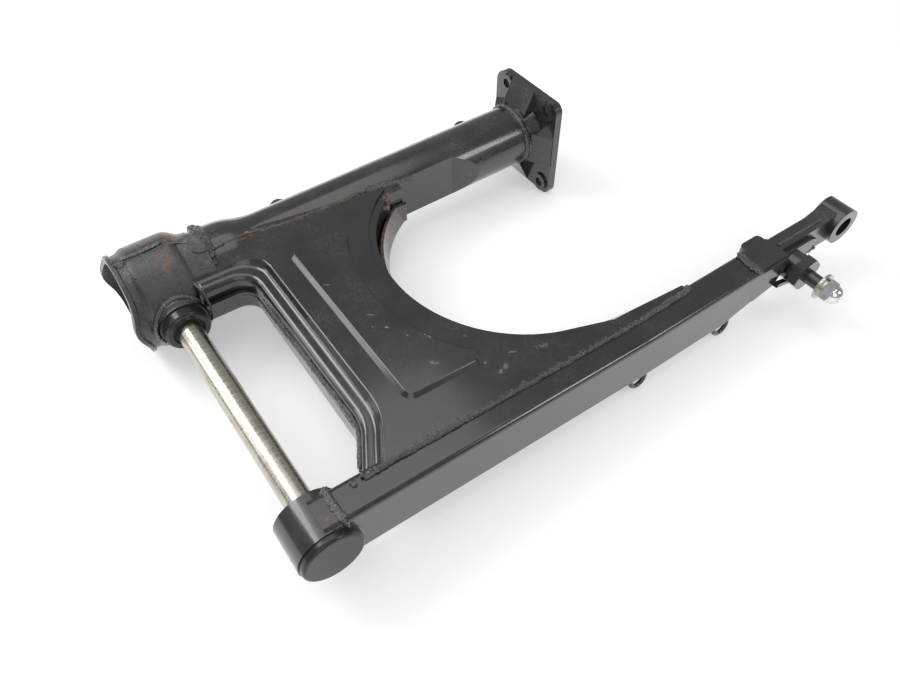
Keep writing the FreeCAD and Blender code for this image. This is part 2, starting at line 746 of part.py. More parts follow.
def tail_edge(grow, low, high):
    """The slanting side where the arc of the upper shell runs out into its tail."""
    turn_x, join_x = size("tail_turn_x"), size("tail_join_x")
    centre_x, centre_y = size("arc_x"), size("arc_y")
    radius = size("arc_radius") + grow
    end_x = size("tail_end") + 20
    turn_y = centre_y - math.sqrt(radius ** 2 - (turn_x - centre_x) ** 2)
    tail_slope = (size("tail_y") - grow - centre_y + radius) / (end_x - centre_x)
    low_y = centre_y - radius + tail_slope * (join_x - centre_x)
    wires = []
    for join_y, level in ((low_y, low), (size("tail_join_y") - grow, high)):
        corners = [
            (turn_x, turn_y), (join_x, join_y), (end_x, size("tail_y") - grow),
            (end_x, centre_y), (turn_x, centre_y), (turn_x, turn_y)]
        wires.append(Part.makePolygon([Vector(x, y, level) for x, y in corners]))
    return Part.makeLoft(wires, True, True)


def column(outline, low, high):
    face = Part.Face(moved(outline, Vector(0, 0, low)))
    return face.extrude(Vector(0, 0, high - low))


def slope(outline_low, low, outline_high, high):
    wires = [moved(outline_low, Vector(0, 0, low)), moved(outline_high, Vector(0, 0, high))]
    return Part.makeLoft(wires, True, True)


def panel(shrink):
    """The raised panel: a rounded rectangle with a hollow side round the wheel arc."""
    front, rear = size("panel_front"), size("arc_x")
    left, right = size("panel_left"), size("panel_right")
    field = Part.Face(Part.makePolygon([
        Vector(front, right, 0), Vector(rear, right, 0), Vector(rear, left, 0),
        Vector(front, left, 0), Vector(front, right, 0)]))
    circle = Part.makeCircle(size("arc_radius") + size("panel_margin"), Vector(rear, size("arc_y"), 0))
    field = field.cut(Part.Face(Part.Wire(circle)))
    field = max(field.Faces, key=lambda face: face.Area if face.CenterOfMass.x < rear - 100 else 0)
    round_in = size("panel_corner")
    field = field.makeOffset2D(-round_in, 2)
    field = field.makeOffset2D(round_in - shrink, 0)
    return max(field.Faces, key=lambda face: face.Area).OuterWire


def field_column(grow, low, high, lap_y):
    """The plan area of a shell, open towards the tube, the beam and the leg's front."""
    left = size("left_boss_radius") - size("leg_overhang") - grow
    tail = size("tail_end") + grow
    tab = size("tab_end") + grow
    right = lap_y - grow
    outline = [
        (left, right, low), (tail, right, low), (tail, 0, low),
        (tab, 0, low), (tab, shaft_y + grow, low), (left, shaft_y + grow, low)]
    return prism(outline, 0, high - low, Vector(0, 0, 1))


def long_edges_at(shape, level, low_x, high_x):
    """The edges at a level whose middle lies between two x positions, ahead of the open sides."""
    lowest_y = size("right_corner_y") - size("right_corner") - 30

    def fits(edge):
        box = edge.BoundBox
        flat = abs(box.ZMin - level) < 1e-3 and abs(box.ZMax - level) < 1e-3
        inside = box.YMax < shaft_y - 1 and box.YMin > lowest_y
        return flat and inside and low_x < (box.XMin + box.XMax) / 2 < high_x

    return edges_where(shape, fits)


def upper_block(wall_in, deeper=0.0):
    """The upper shell as a full block, its outside moved in by wall_in."""
    top = -wall_in
    step = size("ledge_drop")
    lip = size("arc_lip_drop")
    over = 0.2
    depth = size("upper_depth") + wall_in + deeper
    block = field_column(0 if wall_in == 0 else 4, -depth, top, size("lap_y"))
    block = block.cut(column(window(wall_in), -60, 20))
    block = block.cut(wheel_room(wall_in, -60))
    ledge, ledge_slope = size("ledge_width") + wall_in, size("ledge_slope")
    extra = ledge_slope * over / step
    block = block.cut(slope(
        window(ledge, 6), top - step, window(ledge + ledge_slope + extra, 6), top + over))
    sunk = prism([
        (size("leg_sink_start"), 0, top), (size("leg_sink_end"), 0, top - size("leg_sink")),
        (-20, 0, top - size("leg_sink")), (-20, 0, top + 5), (size("leg_sink_start"), 0, top + 5)],
        leg_y, 90, Vector(0, 1, 0))
    if wall_in == 0:
        block = block.makeFillet(size("ledge_round"), long_edges_at(block, top - step, -20, front_x + 1))
        block = block.makeFillet(size("step_round"), long_edges_at(block, top, -20, size("panel_front")))
    block = block.cut(sunk)
    lip_width = size("arc_lip") + wall_in
    block = block.cut(wheel_room(lip_width, top - lip))
    block = block.cut(tail_edge(wall_in, top - size("tail_drop"), top + over))
    rise = size("panel_rise")
    half = wall_in / 2
    raised = slope(panel(half), top - 0.5, panel(half + size("panel_slope")), top + rise)
    if wall_in == 0:
        top_edges = edges_where(raised, lambda e: e.BoundBox.ZMin > top + rise - 1e-3)
        raised = raised.makeFillet(size("panel_round"), top_edges)
    return block.fuse(raised)


def lower_block(wall_in):
    """The lower shell upside down: its outside laps over the upper shell's walls."""
    lap = -size("lap_gap") - size("sheet") + wall_in
    top = -wall_in
    depth = -size("lower_depth") - wall_in
    block = field_column(0 if wall_in == 0 else 4, depth, top, size("lap_y") + 4)
    block = block.cut(column(window(lap), -60, 20))
    if wall_in == 0:
        block = block.makeFillet(size("lower_round"), long_edges_at(block, top, -20, front_x + 1))
    block = block.cut(wheel_room(lap, depth - 1, lap - size("lower_flare"), top + 1))
    return block


def tilted(shape, base_z, slope_x, slope_y):
    turn = Rotation(Vector(0, 1, 0), math.degrees(math.atan(slope_x)))
    turn = turn.multiply(Rotation(Vector(1, 0, 0), math.degrees(math.atan(slope_y))))
    copy = shape.copy()
    copy.Placement = Placement(Vector(0, 0, base_z), turn)
    return copy, turn


def biggest(shape):
    return max(shape.Solids, key=lambda solid: solid.Volume)


sheet_thick = size("sheet")
beam_slope = size("beam_drop") / bend_x
upper_slope_y = 0.0137
upper_z = mid_front + beam_half + sheet_thick - upper_slope_y * size("lap_y") - 0.4
upper = upper_block(0).cut(upper_block(sheet_thick))
upper, upper_turn = tilted(upper, upper_z, beam_slope, upper_slope_y)
left_boss_room = turned_on_pivot([(boss_face - 20, boss_radius + 0.1), (boss_end, boss_radius + 0.1)])
for other in (tube_outer_world, bell_solid_world, left_boss_room, beam_solid):
    upper = upper.cut(other)
keep_shape("gusset_upper", biggest(upper), Vector(0, 0, upper_z), upper_turn)

lower_slope_x, lower_slope_y = 0.030, 0.040
lower_z = size("lower_rise") - beam_half
lower = lower_block(0).cut(lower_block(sheet_thick))
lower = lower.mirror(Vector(0, 0, 0), Vector(0, 0, 1))
lower, lower_turn = tilted(lower, lower_z, lower_slope_x, lower_slope_y)
beam_inner = beam_y + beam_width
beam_side = Part.makeBox(600, 100, 200, Vector(-50, beam_inner - 100, -100))
upper_room = upper_block(-size("lap_gap") / 2, size("lap_gap"))
upper_room = tilted(upper_room, upper_z, beam_slope, upper_slope_y)[0]
for other in (tube_outer_world, bell_solid_world, left_boss_room, beam_side, upper_room):
    lower = lower.cut(other)
keep_shape("gusset_lower", biggest(lower), Vector(0, 0, lower_z), lower_turn)

# Rear bracket: a block in the end of the beam, the arm and the eye of the axle
cheek_y = beam_y + wall
arm_inner, arm_thickness = size("arm_inner"), size("arm_thickness")
arm_outer = arm_inner - arm_thickness
axle_x, axle_z = size("axle_x"), size("axle_z")
eye_radius = size("eye_radius")
arm_top = size("arm_top")
block_end = cheek_end + 4.0


def across(points, start, width):
    """A plate seen from the side: (x, z) points, standing from y = start."""
    return prism([(x, 0, z) for x, z in points], start, width, Vector(0, 1, 0))


def round_all(shape, radius, test):
    return shape.makeFillet(radius, edges_where(shape, test))


block_low = cheek_bottom + 1.5
block = across([
    (beam_end + 0.5, arm_top + 0.5), (block_end, arm_top + 0.5), (block_end, block_low),
    (cheek_end - 14, block_low), (beam_end + 0.5, cheek_low + 4)], cheek_y, beam_inner - cheek_y)
step_block = across([
    (beam_end + 8, arm_top), (block_end - 1, arm_top), (block_end - 1, arm_top - 18),
    (beam_end + 8, arm_top - 18)], beam_inner - 1, 8.5)
step_block = round_all(step_block, 4.0, lambda e: e.BoundBox.ZLength > 10 and e.BoundBox.YMin > beam_inner)
arm = across([
    (block_end - 8, arm_top), (axle_x - 22, arm_top - 1), (axle_x, axle_z + eye_radius),
    (axle_x + 4, axle_z), (axle_x, axle_z - eye_radius), (axle_x - 34, axle_z - eye_radius + 1),
    (block_end - 8, block_low + 2)], arm_outer, arm_thickness)
eye_foot = Vector(axle_x, size("eye_outer"), axle_z)
eye = Part.makeCylinder(eye_radius, size("eye_length"), eye_foot, Vector(0, 1, 0))
axle_hole = Part.makeCylinder(size("eye_bore"), 80, eye_foot - Vector(0, 20, 0), Vector(0, 1, 0))
stud_x, stud_z = size("stud_x"), size("stud_z")
stud_depth = 8.0
stud_room = Part.makeCylinder(size("stud_radius") + size("press_gap"), 40,
                              Vector(stud_x, arm_outer + stud_depth - 40, stud_z), Vector(0, 1, 0))
arm = round_all(arm, 2.0, lambda e: e.BoundBox.YLength < 1e-3 and abs(e.BoundBox.YMin - arm_inner) < 1e-3
                and e.BoundBox.XLength > 30)
arm = arm.fuse(eye).cut(axle_hole).cut(stud_room)
bracket = arm.multiFuse([block, step_block])
keep_shape("axle_bracket", biggest(bracket), Vector(axle_x, 0, axle_z))

web_start = arm_outer - size("web_thickness")
web = across([
    (block_end + 0.3, arm_top - 4), (axle_x - 40, arm_top - 5), (axle_x - 30, arm_top - 9),
    (axle_x - 36, arm_top - 17), (axle_x - 48, block_low + 1), (block_end + 0.3, block_low + 1)],
    web_start, size("web_thickness"))
web = round_all(web, 4.0, lambda e: e.BoundBox.YLength > 1 and e.BoundBox.XMin > axle_x - 50)
keep_shape("bracket_web", web.cut(stud_room), Vector(block_end, web_start, 0))

# Base of the shock stud: a round boss with a hexagon, on a small brace
base_start = web_start - size("base_length")
hex_start = base_start - size("hex_length")
base_radius = size("base_radius")


def hexagon(flats, start, length):
    radius = flats / math.sqrt(3)
    corners = [on_circle((stud_x, stud_z), radius, 60 * index + 12) for index in range(6)]
    return across(corners, start, length)


base_foot = Vector(stud_x, base_start, stud_z)
base = Part.makeCylinder(base_radius, size("base_length"), base_foot, Vector(0, 1, 0))
crown = hexagon(size("hex_flats"), hex_start, size("hex_length"))
cone = Part.makeCone(size("hex_flats") / math.sqrt(3) - 1.2, size("hex_flats") / math.sqrt(3) + 9,
                     10.2, Vector(stud_x, hex_start, stud_z), Vector(0, 1, 0))
crown = crown.common(cone)
keep_shape("stud_base", base.fuse(crown).cut(stud_room), Vector(stud_x, base_start, stud_z))

brace_low = stud_z - base_radius
brace = across([
    (cheek_end - 6, cheek_bottom - 0.5), (cheek_end - 4, cheek_bottom + 2.8),
    (stud_x + 4, brace_low + 1), (stud_x + 5, brace_low - 3)], base_start + 0.3, beam_y - base_start - 0.3)
brace = brace.cut(Part.makeCylinder(base_radius + 0.3, 80, Vector(stud_x, -180, stud_z), Vector(0, 1, 0)))
keep_shape("boss_brace", biggest(brace), Vector(cheek_end, beam_y, 0))

# Stud with a shoulder, washers and a closed nut
shoulder = hex_start - size("stud_length")
washers = size("wide_washer_length") + size("spring_washer_length")
nut_seat = shoulder - washers
nut_hex = size("nut_hex_length")
shank = Part.makeCylinder(size("stud_radius"), arm_outer + stud_depth - 0.5 - shoulder,
                         Vector(stud_x, shoulder, stud_z), Vector(0, 1, 0))
thread_length = washers + nut_hex + 3.0
thread_start = shoulder - thread_length
thread_foot = Vector(stud_x, thread_start, stud_z)
thread = Part.makeCylinder(size("thread_radius"), thread_length, thread_foot, Vector(0, 1, 0))
stud = shank.fuse(thread).removeSplitter()
thread_rim = edges_where(stud, lambda e: is_circle(e, size("thread_radius"), 1, thread_start))
stud = stud.makeChamfer(1.0, thread_rim)
keep_shape("shock_stud", stud, Vector(stud_x, shoulder, stud_z))

washer_hole = "Sizes.thread_radius + 0.3"
stud_start = "(Sizes.arm_inner - Sizes.arm_thickness - Sizes.web_thickness - Sizes.base_length"
stud_start = stud_start + " - Sizes.hex_length - Sizes.stud_length)"
keep("wide_washer", ring(
    "wide_washer", "Sizes.wide_washer_radius", washer_hole, stud_start + " - Sizes.wide_washer_length",
    "Sizes.wide_washer_length", "Sizes.stud_x", "Sizes.stud_z"))
split_ring = ring(
    "split_ring", "Sizes.spring_washer_radius", washer_hole,
    stud_start + " - Sizes.wide_washer_length - Sizes.spring_washer_length",
    "Sizes.spring_washer_length", "Sizes.stud_x", "Sizes.stud_z")
split = doc.addObject("Part::Box", "split")
bind(split, "Length", "1.2")
bind(split, "Width", "Sizes.spring_washer_length + 2")
bind(split, "Height", "Sizes.spring_washer_radius + 2")
bind(split, "Placement.Base.x", "Sizes.stud_x - 0.6")
bind(split, "Placement.Base.y", stud_start + " - Sizes.wide_washer_length - Sizes.spring_washer_length - 1")
bind(split, "Placement.Base.z", "Sizes.stud_z")
keep("spring_washer", cut("spring_washer", split_ring, split))

nut_start = nut_seat - nut_hex
nut = hexagon(size("nut_flats"), nut_start, nut_hex)
nut_cone = Part.makeCone(size("nut_flats") / 2 + 0.2, size("nut_flats") / 2 + 11, 10.8,
                         Vector(stud_x, nut_start, stud_z), Vector(0, 1, 0))
nut = nut.common(nut_cone)
dome_radius = size("nut_dome_radius")
dome = Part.makeSphere(dome_radius, Vector(stud_x, nut_start + 0.6, stud_z))
dome = dome.common(Part.makeBox(40, 40, 40, Vector(stud_x - 20, nut_start - 39, stud_z - 20)))
nut = nut.fuse(dome).removeSplitter()
nut_depth = thread_length - washers + 1.0
nut_hole = Part.makeCylinder(size("thread_radius") + 0.05, nut_depth,
                             Vector(stud_x, nut_seat - nut_depth, stud_z), Vector(0, 1, 0))
keep_shape("acorn_nut", nut.cut(nut_hole), Vector(stud_x, nut_seat, stud_z))


# Cable hoops bent from round wire
def hoop(label, foot, reach, width, depth):
    """A wire loop: its legs start at foot and reach along the given vector."""
    radius = size("wire_radius")
    bend = width / 2
    side = Vector(width / 2, 0, 0)
    leg = reach * ((reach.Length - bend) / reach.Length)
    sunk = reach * (-depth / reach.Length)
    start, first = foot - side + sunk, foot - side + leg
    last, end = foot + side + leg, foot + side + sunk
    top = foot + reach
    path = Part.Wire([
        Part.makeLine(start, first), Part.Arc(first, top, last).toShape(), Part.makeLine(last, end)])
    profile = Part.Wire(Part.makeCircle(radius, start, reach))
    loop = path.makePipeShell([profile], True, True, 2)
    return label, loop


wire = size("wire_radius")
hoop_width, hoop_reach = size("hoop_width"), size("hoop_reach")
low_side = mid_rear - beam_half
for label, hoop_x in (("beam_hoop_front", 262.0), ("beam_hoop_rear", 352.0)):
    foot = Vector(hoop_x, beam_y + wire + 1.0, low_side + 1.5)
    label, loop = hoop(label, foot, Vector(0, -0.15, -1) * hoop_reach, hoop_width, 2.0)
    loop = loop.cut(beam_solid)
    keep_shape(label, biggest(loop), foot)
side_y = shaft_y + size("tube_radius")
for label, hoop_x in (("tube_hoop_front", 117.0), ("tube_hoop_rear", 308.0)):
    foot = Vector(hoop_x, side_y, 3.0)
    label, loop = hoop(label, foot, Vector(0, 1, 0.25) * hoop_reach, hoop_width - 3.0, 2.0)
    loop = loop.cut(tube_outer_world)
    keep_shape(label, biggest(loop), foot)

doc.recompute()
for label, thing in nodes.items():
    shape = thing.Shape
    failed = [word for word in thing.State if word in ("Invalid", "Error")]
    if failed or shape.isNull() or not shape.isValid() or not shape.Solids:
        raise RuntimeError("the node %s did not build: %s" % (label, failed))
    shape.exportStep("parts/%s.step" % label)
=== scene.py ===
"""Dressed model of a motorcycle swingarm: finishes, weld beads, camera and studio light."""
import logging
import math
from collections.abc import Callable
from dataclasses import dataclass
from enum import Enum
from typing import Any

import bpy
from mathutils import Matrix, Vector


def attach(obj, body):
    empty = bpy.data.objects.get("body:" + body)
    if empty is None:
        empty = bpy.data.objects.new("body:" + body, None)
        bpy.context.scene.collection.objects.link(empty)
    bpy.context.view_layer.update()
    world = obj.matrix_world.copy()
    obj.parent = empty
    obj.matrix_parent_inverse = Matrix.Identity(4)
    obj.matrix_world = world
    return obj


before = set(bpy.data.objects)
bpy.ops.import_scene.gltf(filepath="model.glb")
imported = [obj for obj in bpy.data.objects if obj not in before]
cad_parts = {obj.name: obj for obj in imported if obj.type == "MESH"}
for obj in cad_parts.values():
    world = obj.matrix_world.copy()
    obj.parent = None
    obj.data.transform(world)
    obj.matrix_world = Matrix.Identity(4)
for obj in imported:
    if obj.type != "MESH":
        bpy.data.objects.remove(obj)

LOG = logging.getLogger("swingarm")
MM = 0.001
FRAME_BODY = "frame"

Socket = bpy.types.NodeSocket
Colour = tuple[float, float, float, float]
Point = tuple[float, float, float]

# Colours of the black paint's wear, and of dull or dusty spots.
DUST: Colour = (0.12, 0.125, 0.122, 1.0)
BARE_CHIP: Colour = (0.34, 0.34, 0.32, 1.0)
DARK_RUST: Colour = (0.055, 0.030, 0.018, 1.0)
LIGHT_RUST: Colour = (0.22, 0.105, 0.05, 1.0)
CHROME_BRIGHT: Colour = (0.83, 0.83, 0.84, 1.0)
CHROME_DULL: Colour = (0.62, 0.61, 0.58, 1.0)
PLASTIC_DUST: Colour = (0.08, 0.08, 0.08, 1.0)
WHITE: Colour = (1.0, 1.0, 1.0, 1.0)


class Knob(Enum):
    """Inputs of the weld bead's geometry tree."""
    PATH = "Path"
    HALF_WIDTH = "Half Width"
    FLATNESS = "Flatness"
    PITCH = "Pitch"
    ROUGHNESS = "Roughness"
    SEED = "Seed"
    FINISH = "Finish"


def metres(*values: float) -> Vector:
    """Turns a point in millimetres into metres."""
    return Vector(values) * MM


class Graph:
    """A short way to write a node tree of a material or of a geometry modifier."""

    def __init__(self, tree: bpy.types.NodeTree) -> None:
        """Keeps the tree and clears it.

        Args:
            tree: the node tree to fill.
        """
        self.tree = tree
        self.tree.nodes.clear()

    def add(self, kind: str, settings: dict[str, Any] | None = None, **inputs: Any) -> bpy.types.Node:
        """Adds a node.

        Args:
            kind: the node's type name.
            settings: attributes of the node.
            inputs: values or sockets by input name, with underscores for spaces.

        Returns:
            The new node.
        """
        node = self.tree.nodes.new(kind)
        for name, value in (settings or {}).items():
            setattr(node, name, value)
        for name, value in inputs.items():
            self.feed(node, name.replace("_", " "), value)
        return node

    def feed(self, node: bpy.types.Node, name: str | int, value: Any) -> None:
        """Sets or links one input.

        Args:
            node: the node that gets the value.
            name: the input's name or number.
            value: a number, a colour, a vector or an output socket.
        """
        socket = node.inputs[name]
        if isinstance(value, Socket):
            self.tree.links.new(value, socket)
        else:
            socket.default_value = value

    def math(self, operation: str, *values: Any, clamp: bool = False) -> Socket:
        """Adds a Math node and returns its result.

        Args:
            operation: the operation's name.
            values: numbers or sockets.
            clamp: True keeps the result between 0 and 1.

        Returns:
            The result's socket.
        """
        node = self.add("ShaderNodeMath", {"operation": operation, "use_clamp": clamp})
        for index, value in enumerate(values):
            self.feed(node, index, value)
        return node.outputs[0]

    def vector(self, operation: str, *values: Any, output: int = 0) -> Socket:
        """Adds a Vector Math node and returns one result.

        Args:
            operation: the operation's name.
            values: vectors or sockets.
            output: 0 for the vector, 1 for the number.

        Returns:
            The result's socket.
        """
        node = self.add("ShaderNodeVectorMath", {"operation": operation})
        for index, value in enumerate(values):
            self.feed(node, index, value)
        return node.outputs[output]

    def noise(self, place: Socket, scale: float, detail: float = 3.0,
              rough: float = 0.55) -> Socket:
        """Adds a Noise texture in metres and returns its factor.

        Args:
            place: the coordinates.
            scale: cells per metre.
            detail: octaves.
            rough: share of the fine octaves.

        Returns:
            The factor's socket, from 0 to 1.
        """
        node = self.add("ShaderNodeTexNoise", Vector=place, Scale=scale, Detail=detail, Roughness=rough)
        return node.outputs[0]

    def span(self, value: Socket, low: float, high: float, to_low: float = 0.0,
             to_high: float = 1.0) -> Socket:
        """Maps a range of a value smoothly to another one.

        Args:
            value: the socket to map.
            low: value that gives to_low.
            high: value that gives to_high.
            to_low: result at low.
            to_high: result at high.

        Returns:
            The mapped socket.
        """
        node = self.add("ShaderNodeMapRange", {"interpolation_type": "SMOOTHSTEP"})
        for index, item in enumerate((value, low, high, to_low, to_high)):
            self.feed(node, index, item)
        return node.outputs[0]

    def blend(self, factor: Any, first: Any, second: Any) -> Socket:
        """Mixes two colours.

        Args:
            factor: share of the second colour.
            first: colour or socket.
            second: colour or socket.

        Returns:
            The mixed colour's socket.
        """
        node = self.add("ShaderNodeMix", {"data_type": "RGBA"})
        self.feed(node, 0, factor)
        self.feed(node, 6, first)
        self.feed(node, 7, second)
        return node.outputs[2]

    def near_line(self, place: Socket, start: Vector, end: Vector,
                  reach: float) -> Socket:
        """Gives 1 on a line between two points and 0 beyond a distance from it.

        Args:
            place: the coordinates.
            start: first point in metres.
            end: last point in metres.
            reach: distance at which the result is 0, in metres.

        Returns:
            The nearness socket.
        """
        along = end - start
        length = max(along.length_squared, 1e-12)
        offset = self.vector("SUBTRACT", place, start)
        share = self.vector("DOT_PRODUCT", offset, along / length, output=1)
        share = self.math("MAXIMUM", self.math("MINIMUM", share, 1.0), 0.0)
        foot = self.add("ShaderNodeVectorMath", {"operation": "SCALE"}, Scale=share)
        self.feed(foot, 0, along)
        gap = self.vector("LENGTH", self.vector("SUBTRACT", offset, foot.outputs[0]), output=1)
        return self.span(gap, reach, 0.0)


@dataclass(frozen=True)
class Mark:
    """A place where rust or wear gathers: a line in millimetres with a reach."""
    start: Point
    end: Point
    reach: float
    strength: float = 1.0


@dataclass(frozen=True)
class Finish:
    """What all finishes share."""
    name: str

    def material(self) -> bpy.types.Material:
        """Builds the material, or returns the one that was built before."""
        found = bpy.data.materials.get(self.name)
        if found:
            return found
        made = bpy.data.materials.new(self.name)
        made.use_nodes = True
        graph = Graph(made.node_tree)
        place = graph.add("ShaderNodeTexCoord").outputs["Object"]
        shader = graph.add("ShaderNodeBsdfPrincipled")
        out = graph.add("ShaderNodeOutputMaterial")
        graph.feed(out, "Surface", shader.outputs[0])
        self.paint(graph, place, shader)
        return made

    def paint(self, graph: Graph, place: Socket, shader: bpy.types.Node) -> None:
        """Fills the shader's inputs.

        Args:
            graph: the material's graph.
            place: object coordinates.
            shader: the Principled node.
        """
        raise NotImplementedError


@dataclass(frozen=True)
class BlackPaint(Finish):
    """Gloss black enamel with a faint dust, chips, rust marks and an uneven ground.

    Scales are in cells per metre: of the dust's clouds, its flecks, the rust's patches, its browns and
    the paint's faint waves.
    """
    tone: float = 0.013
    gloss: float = 0.20
    dust: float = 0.30
    grain: float = 0.0
    grain_scale: float = 700.0
    rust_base: float = 0.0
    marks: tuple[Mark, ...] = ()
    chips: tuple[Mark, ...] = ()
    coat: float = 0.7
    ior: float = 1.6
    bump: float = 0.35
    bump_depth: float = 0.0006
    cloud_scale: float = 30.0
    fleck_scale: float = 420.0
    patch_scale: float = 150.0
    brown_scale: float = 300.0
    wave_scale: float = 110.0

    def paint(self, graph: Graph, place: Socket, shader: bpy.types.Node) -> None:
        """Fills the shader's inputs.

        Args:
            graph: the material's graph.
            place: object coordinates.
            shader: the Principled node.
        """
        broad = graph.noise(place, self.cloud_scale, 4.0)
        fine = graph.noise(place, self.fleck_scale, 3.0, 0.6)
        dust = graph.math("MULTIPLY", graph.span(broad, 0.35, 0.8), graph.span(fine, 0.3, 0.8))
        dust = graph.math("MULTIPLY", dust, self.dust)
        tone = (self.tone, self.tone * 1.08, self.tone * 1.12, 1.0)
        colour = graph.blend(dust, tone, DUST)
        for mark in self.chips:
            near = self.near(graph, place, mark)
            near = graph.math("MULTIPLY", near, graph.span(fine, 0.40, 0.55))
            colour = graph.blend(near, colour, BARE_CHIP)
        patch = graph.span(graph.noise(place, self.patch_scale, 5.0, 0.7), 0.40, 0.62)
        rust = graph.math("MULTIPLY", patch, self.rust_base)
        for mark in self.marks:
            near = graph.math("MULTIPLY", self.near(graph, place, mark), patch)
            rust = graph.math("MAXIMUM", rust, near)
        shade = graph.noise(place, self.brown_scale, 3.0)
        brown = graph.blend(graph.span(shade, 0.35, 0.65), DARK_RUST, LIGHT_RUST)
        graph.feed(shader, "Base Color", graph.blend(rust, colour, brown))
        rough = graph.span(broad, 0.3, 0.7, self.gloss * 0.85, self.gloss * 1.2)
        rough = graph.math("ADD", rough, graph.math("MULTIPLY", dust, 0.4))
        rough = graph.math("ADD", rough, graph.math("MULTIPLY", rust, 0.4), clamp=True)
        graph.feed(shader, "Roughness", rough)
        shader.inputs["IOR"].default_value = self.ior
        shader.inputs["Coat Weight"].default_value = self.coat
        shader.inputs["Coat Roughness"].default_value = self.gloss * 0.5
        height = graph.math("MULTIPLY", graph.noise(place, self.wave_scale, 2.0), 0.08)
        if self.grain:
            pebble = graph.noise(place, self.grain_scale, 3.0, 0.6)
            height = graph.math("ADD", height, graph.math("MULTIPLY", pebble, self.grain))
        height = graph.math("ADD", height, graph.math("MULTIPLY", rust, graph.math("MULTIPLY", fine, 0.5)))
        bump = graph.add("ShaderNodeBump", Height=height, Strength=self.bump, Distance=self.bump_depth)
        graph.feed(shader, "Normal", bump.outputs[0])
        graph.feed(shader, "Coat Normal", bump.outputs[0])

    @staticmethod
    def near(graph: Graph, place: Socket, mark: Mark) -> Socket:
        """Gives the strength of one mark at the coordinates.

        Args:
            graph: the material's graph.
            place: object coordinates.
            mark: the mark.

        Returns:
            The strength's socket.
        """
        near = graph.near_line(place, metres(*mark.start), metres(*mark.end), mark.reach * MM)
        return graph.math("MULTIPLY", near, mark.strength)


@dataclass(frozen=True)
class BareSteel(Finish):
    """Plated or ground steel with streaks round the piece and stains."""
    tone: Point = (0.60, 0.57, 0.50)
    stain: Point = (0.20, 0.17, 0.12)
    gloss: float = 0.24
    stains: float = 0.6
    streak: Point = (60.0, 900.0, 60.0)
    smear: Point = (260.0, 28.0, 260.0)
    shade: float = 0.82
    blot_scale: float = 120.0

    def paint(self, graph: Graph, place: Socket, shader: bpy.types.Node) -> None:
        """Fills the shader's inputs.

        Args:
            graph: the material's graph.
            place: object coordinates.
            shader: the Principled node.
        """
        stretched = graph.vector("MULTIPLY", place, self.streak)
        lines = graph.noise(stretched, 1.0, 4.0, 0.65)
        blot = graph.noise(place, self.blot_scale, 5.0, 0.65)
        long = graph.noise(graph.vector("MULTIPLY", place, self.smear), 1.0, 4.0, 0.6)
        dirt = graph.math("MULTIPLY", graph.span(long, 0.5, 0.68), graph.span(blot, 0.35, 0.62))
        dirt = graph.math("MULTIPLY", dirt, self.stains)
        darker = (*[share * self.shade for share in self.tone], 1.0)
        colour = graph.blend(graph.span(lines, 0.35, 0.65), darker, (*self.tone, 1.0))
        colour = graph.blend(dirt, colour, (*self.stain, 1.0))
        graph.feed(shader, "Base Color", colour)
        shader.inputs["Metallic"].default_value = 1.0
        rough = graph.span(lines, 0.3, 0.7, self.gloss * 0.75, self.gloss * 1.4)
        rough = graph.math("ADD", rough, graph.math("MULTIPLY", dirt, 0.35), clamp=True)
        graph.feed(shader, "Roughness", rough)
        bump = graph.add("ShaderNodeBump", Height=lines, Strength=0.12, Distance=0.0003)
        graph.feed(shader, "Normal", bump.outputs[0])


@dataclass(frozen=True)
class Chrome(Finish):
    """Polished plating with a few dull clouds."""
    cloud_scale: float = 300.0

    def paint(self, graph: Graph, place: Socket, shader: bpy.types.Node) -> None:
        """Fills the shader's inputs.

        Args:
            graph: the material's graph.
            place: object coordinates.
            shader: the Principled node.
        """
        cloud = graph.noise(place, self.cloud_scale, 3.0)
        graph.feed(shader, "Base Color", graph.blend(
            graph.span(cloud, 0.4, 0.7), CHROME_BRIGHT, CHROME_DULL))
        shader.inputs["Metallic"].default_value = 1.0
        graph.feed(shader, "Roughness", graph.span(cloud, 0.4, 0.75, 0.05, 0.2))


@dataclass(frozen=True)
class DarkPlastic(Finish):
    """Moulded plastic or rubber with a faint mottle."""
    tone: float = 0.012
    gloss: float = 0.16
    mottle_scale: float = 180.0

    def paint(self, graph: Graph, place: Socket, shader: bpy.types.Node) -> None:
        """Fills the shader's inputs.

        Args:
            graph: the material's graph.
            place: object coordinates.
            shader: the Principled node.
        """
        mottle = graph.noise(place, self.mottle_scale, 3.0)
        tone = (self.tone, self.tone, self.tone * 1.05, 1.0)
        graph.feed(shader, "Base Color", graph.blend(
            graph.math("MULTIPLY", graph.span(mottle, 0.45, 0.75), 0.25), tone, PLASTIC_DUST))
        graph.feed(shader, "Roughness", graph.span(mottle, 0.3, 0.7, self.gloss * 0.85, self.gloss * 1.5))
        bump = graph.add("ShaderNodeBump", Height=mottle, Strength=0.05, Distance=0.0005)
        graph.feed(shader, "Normal", bump.outputs[0])


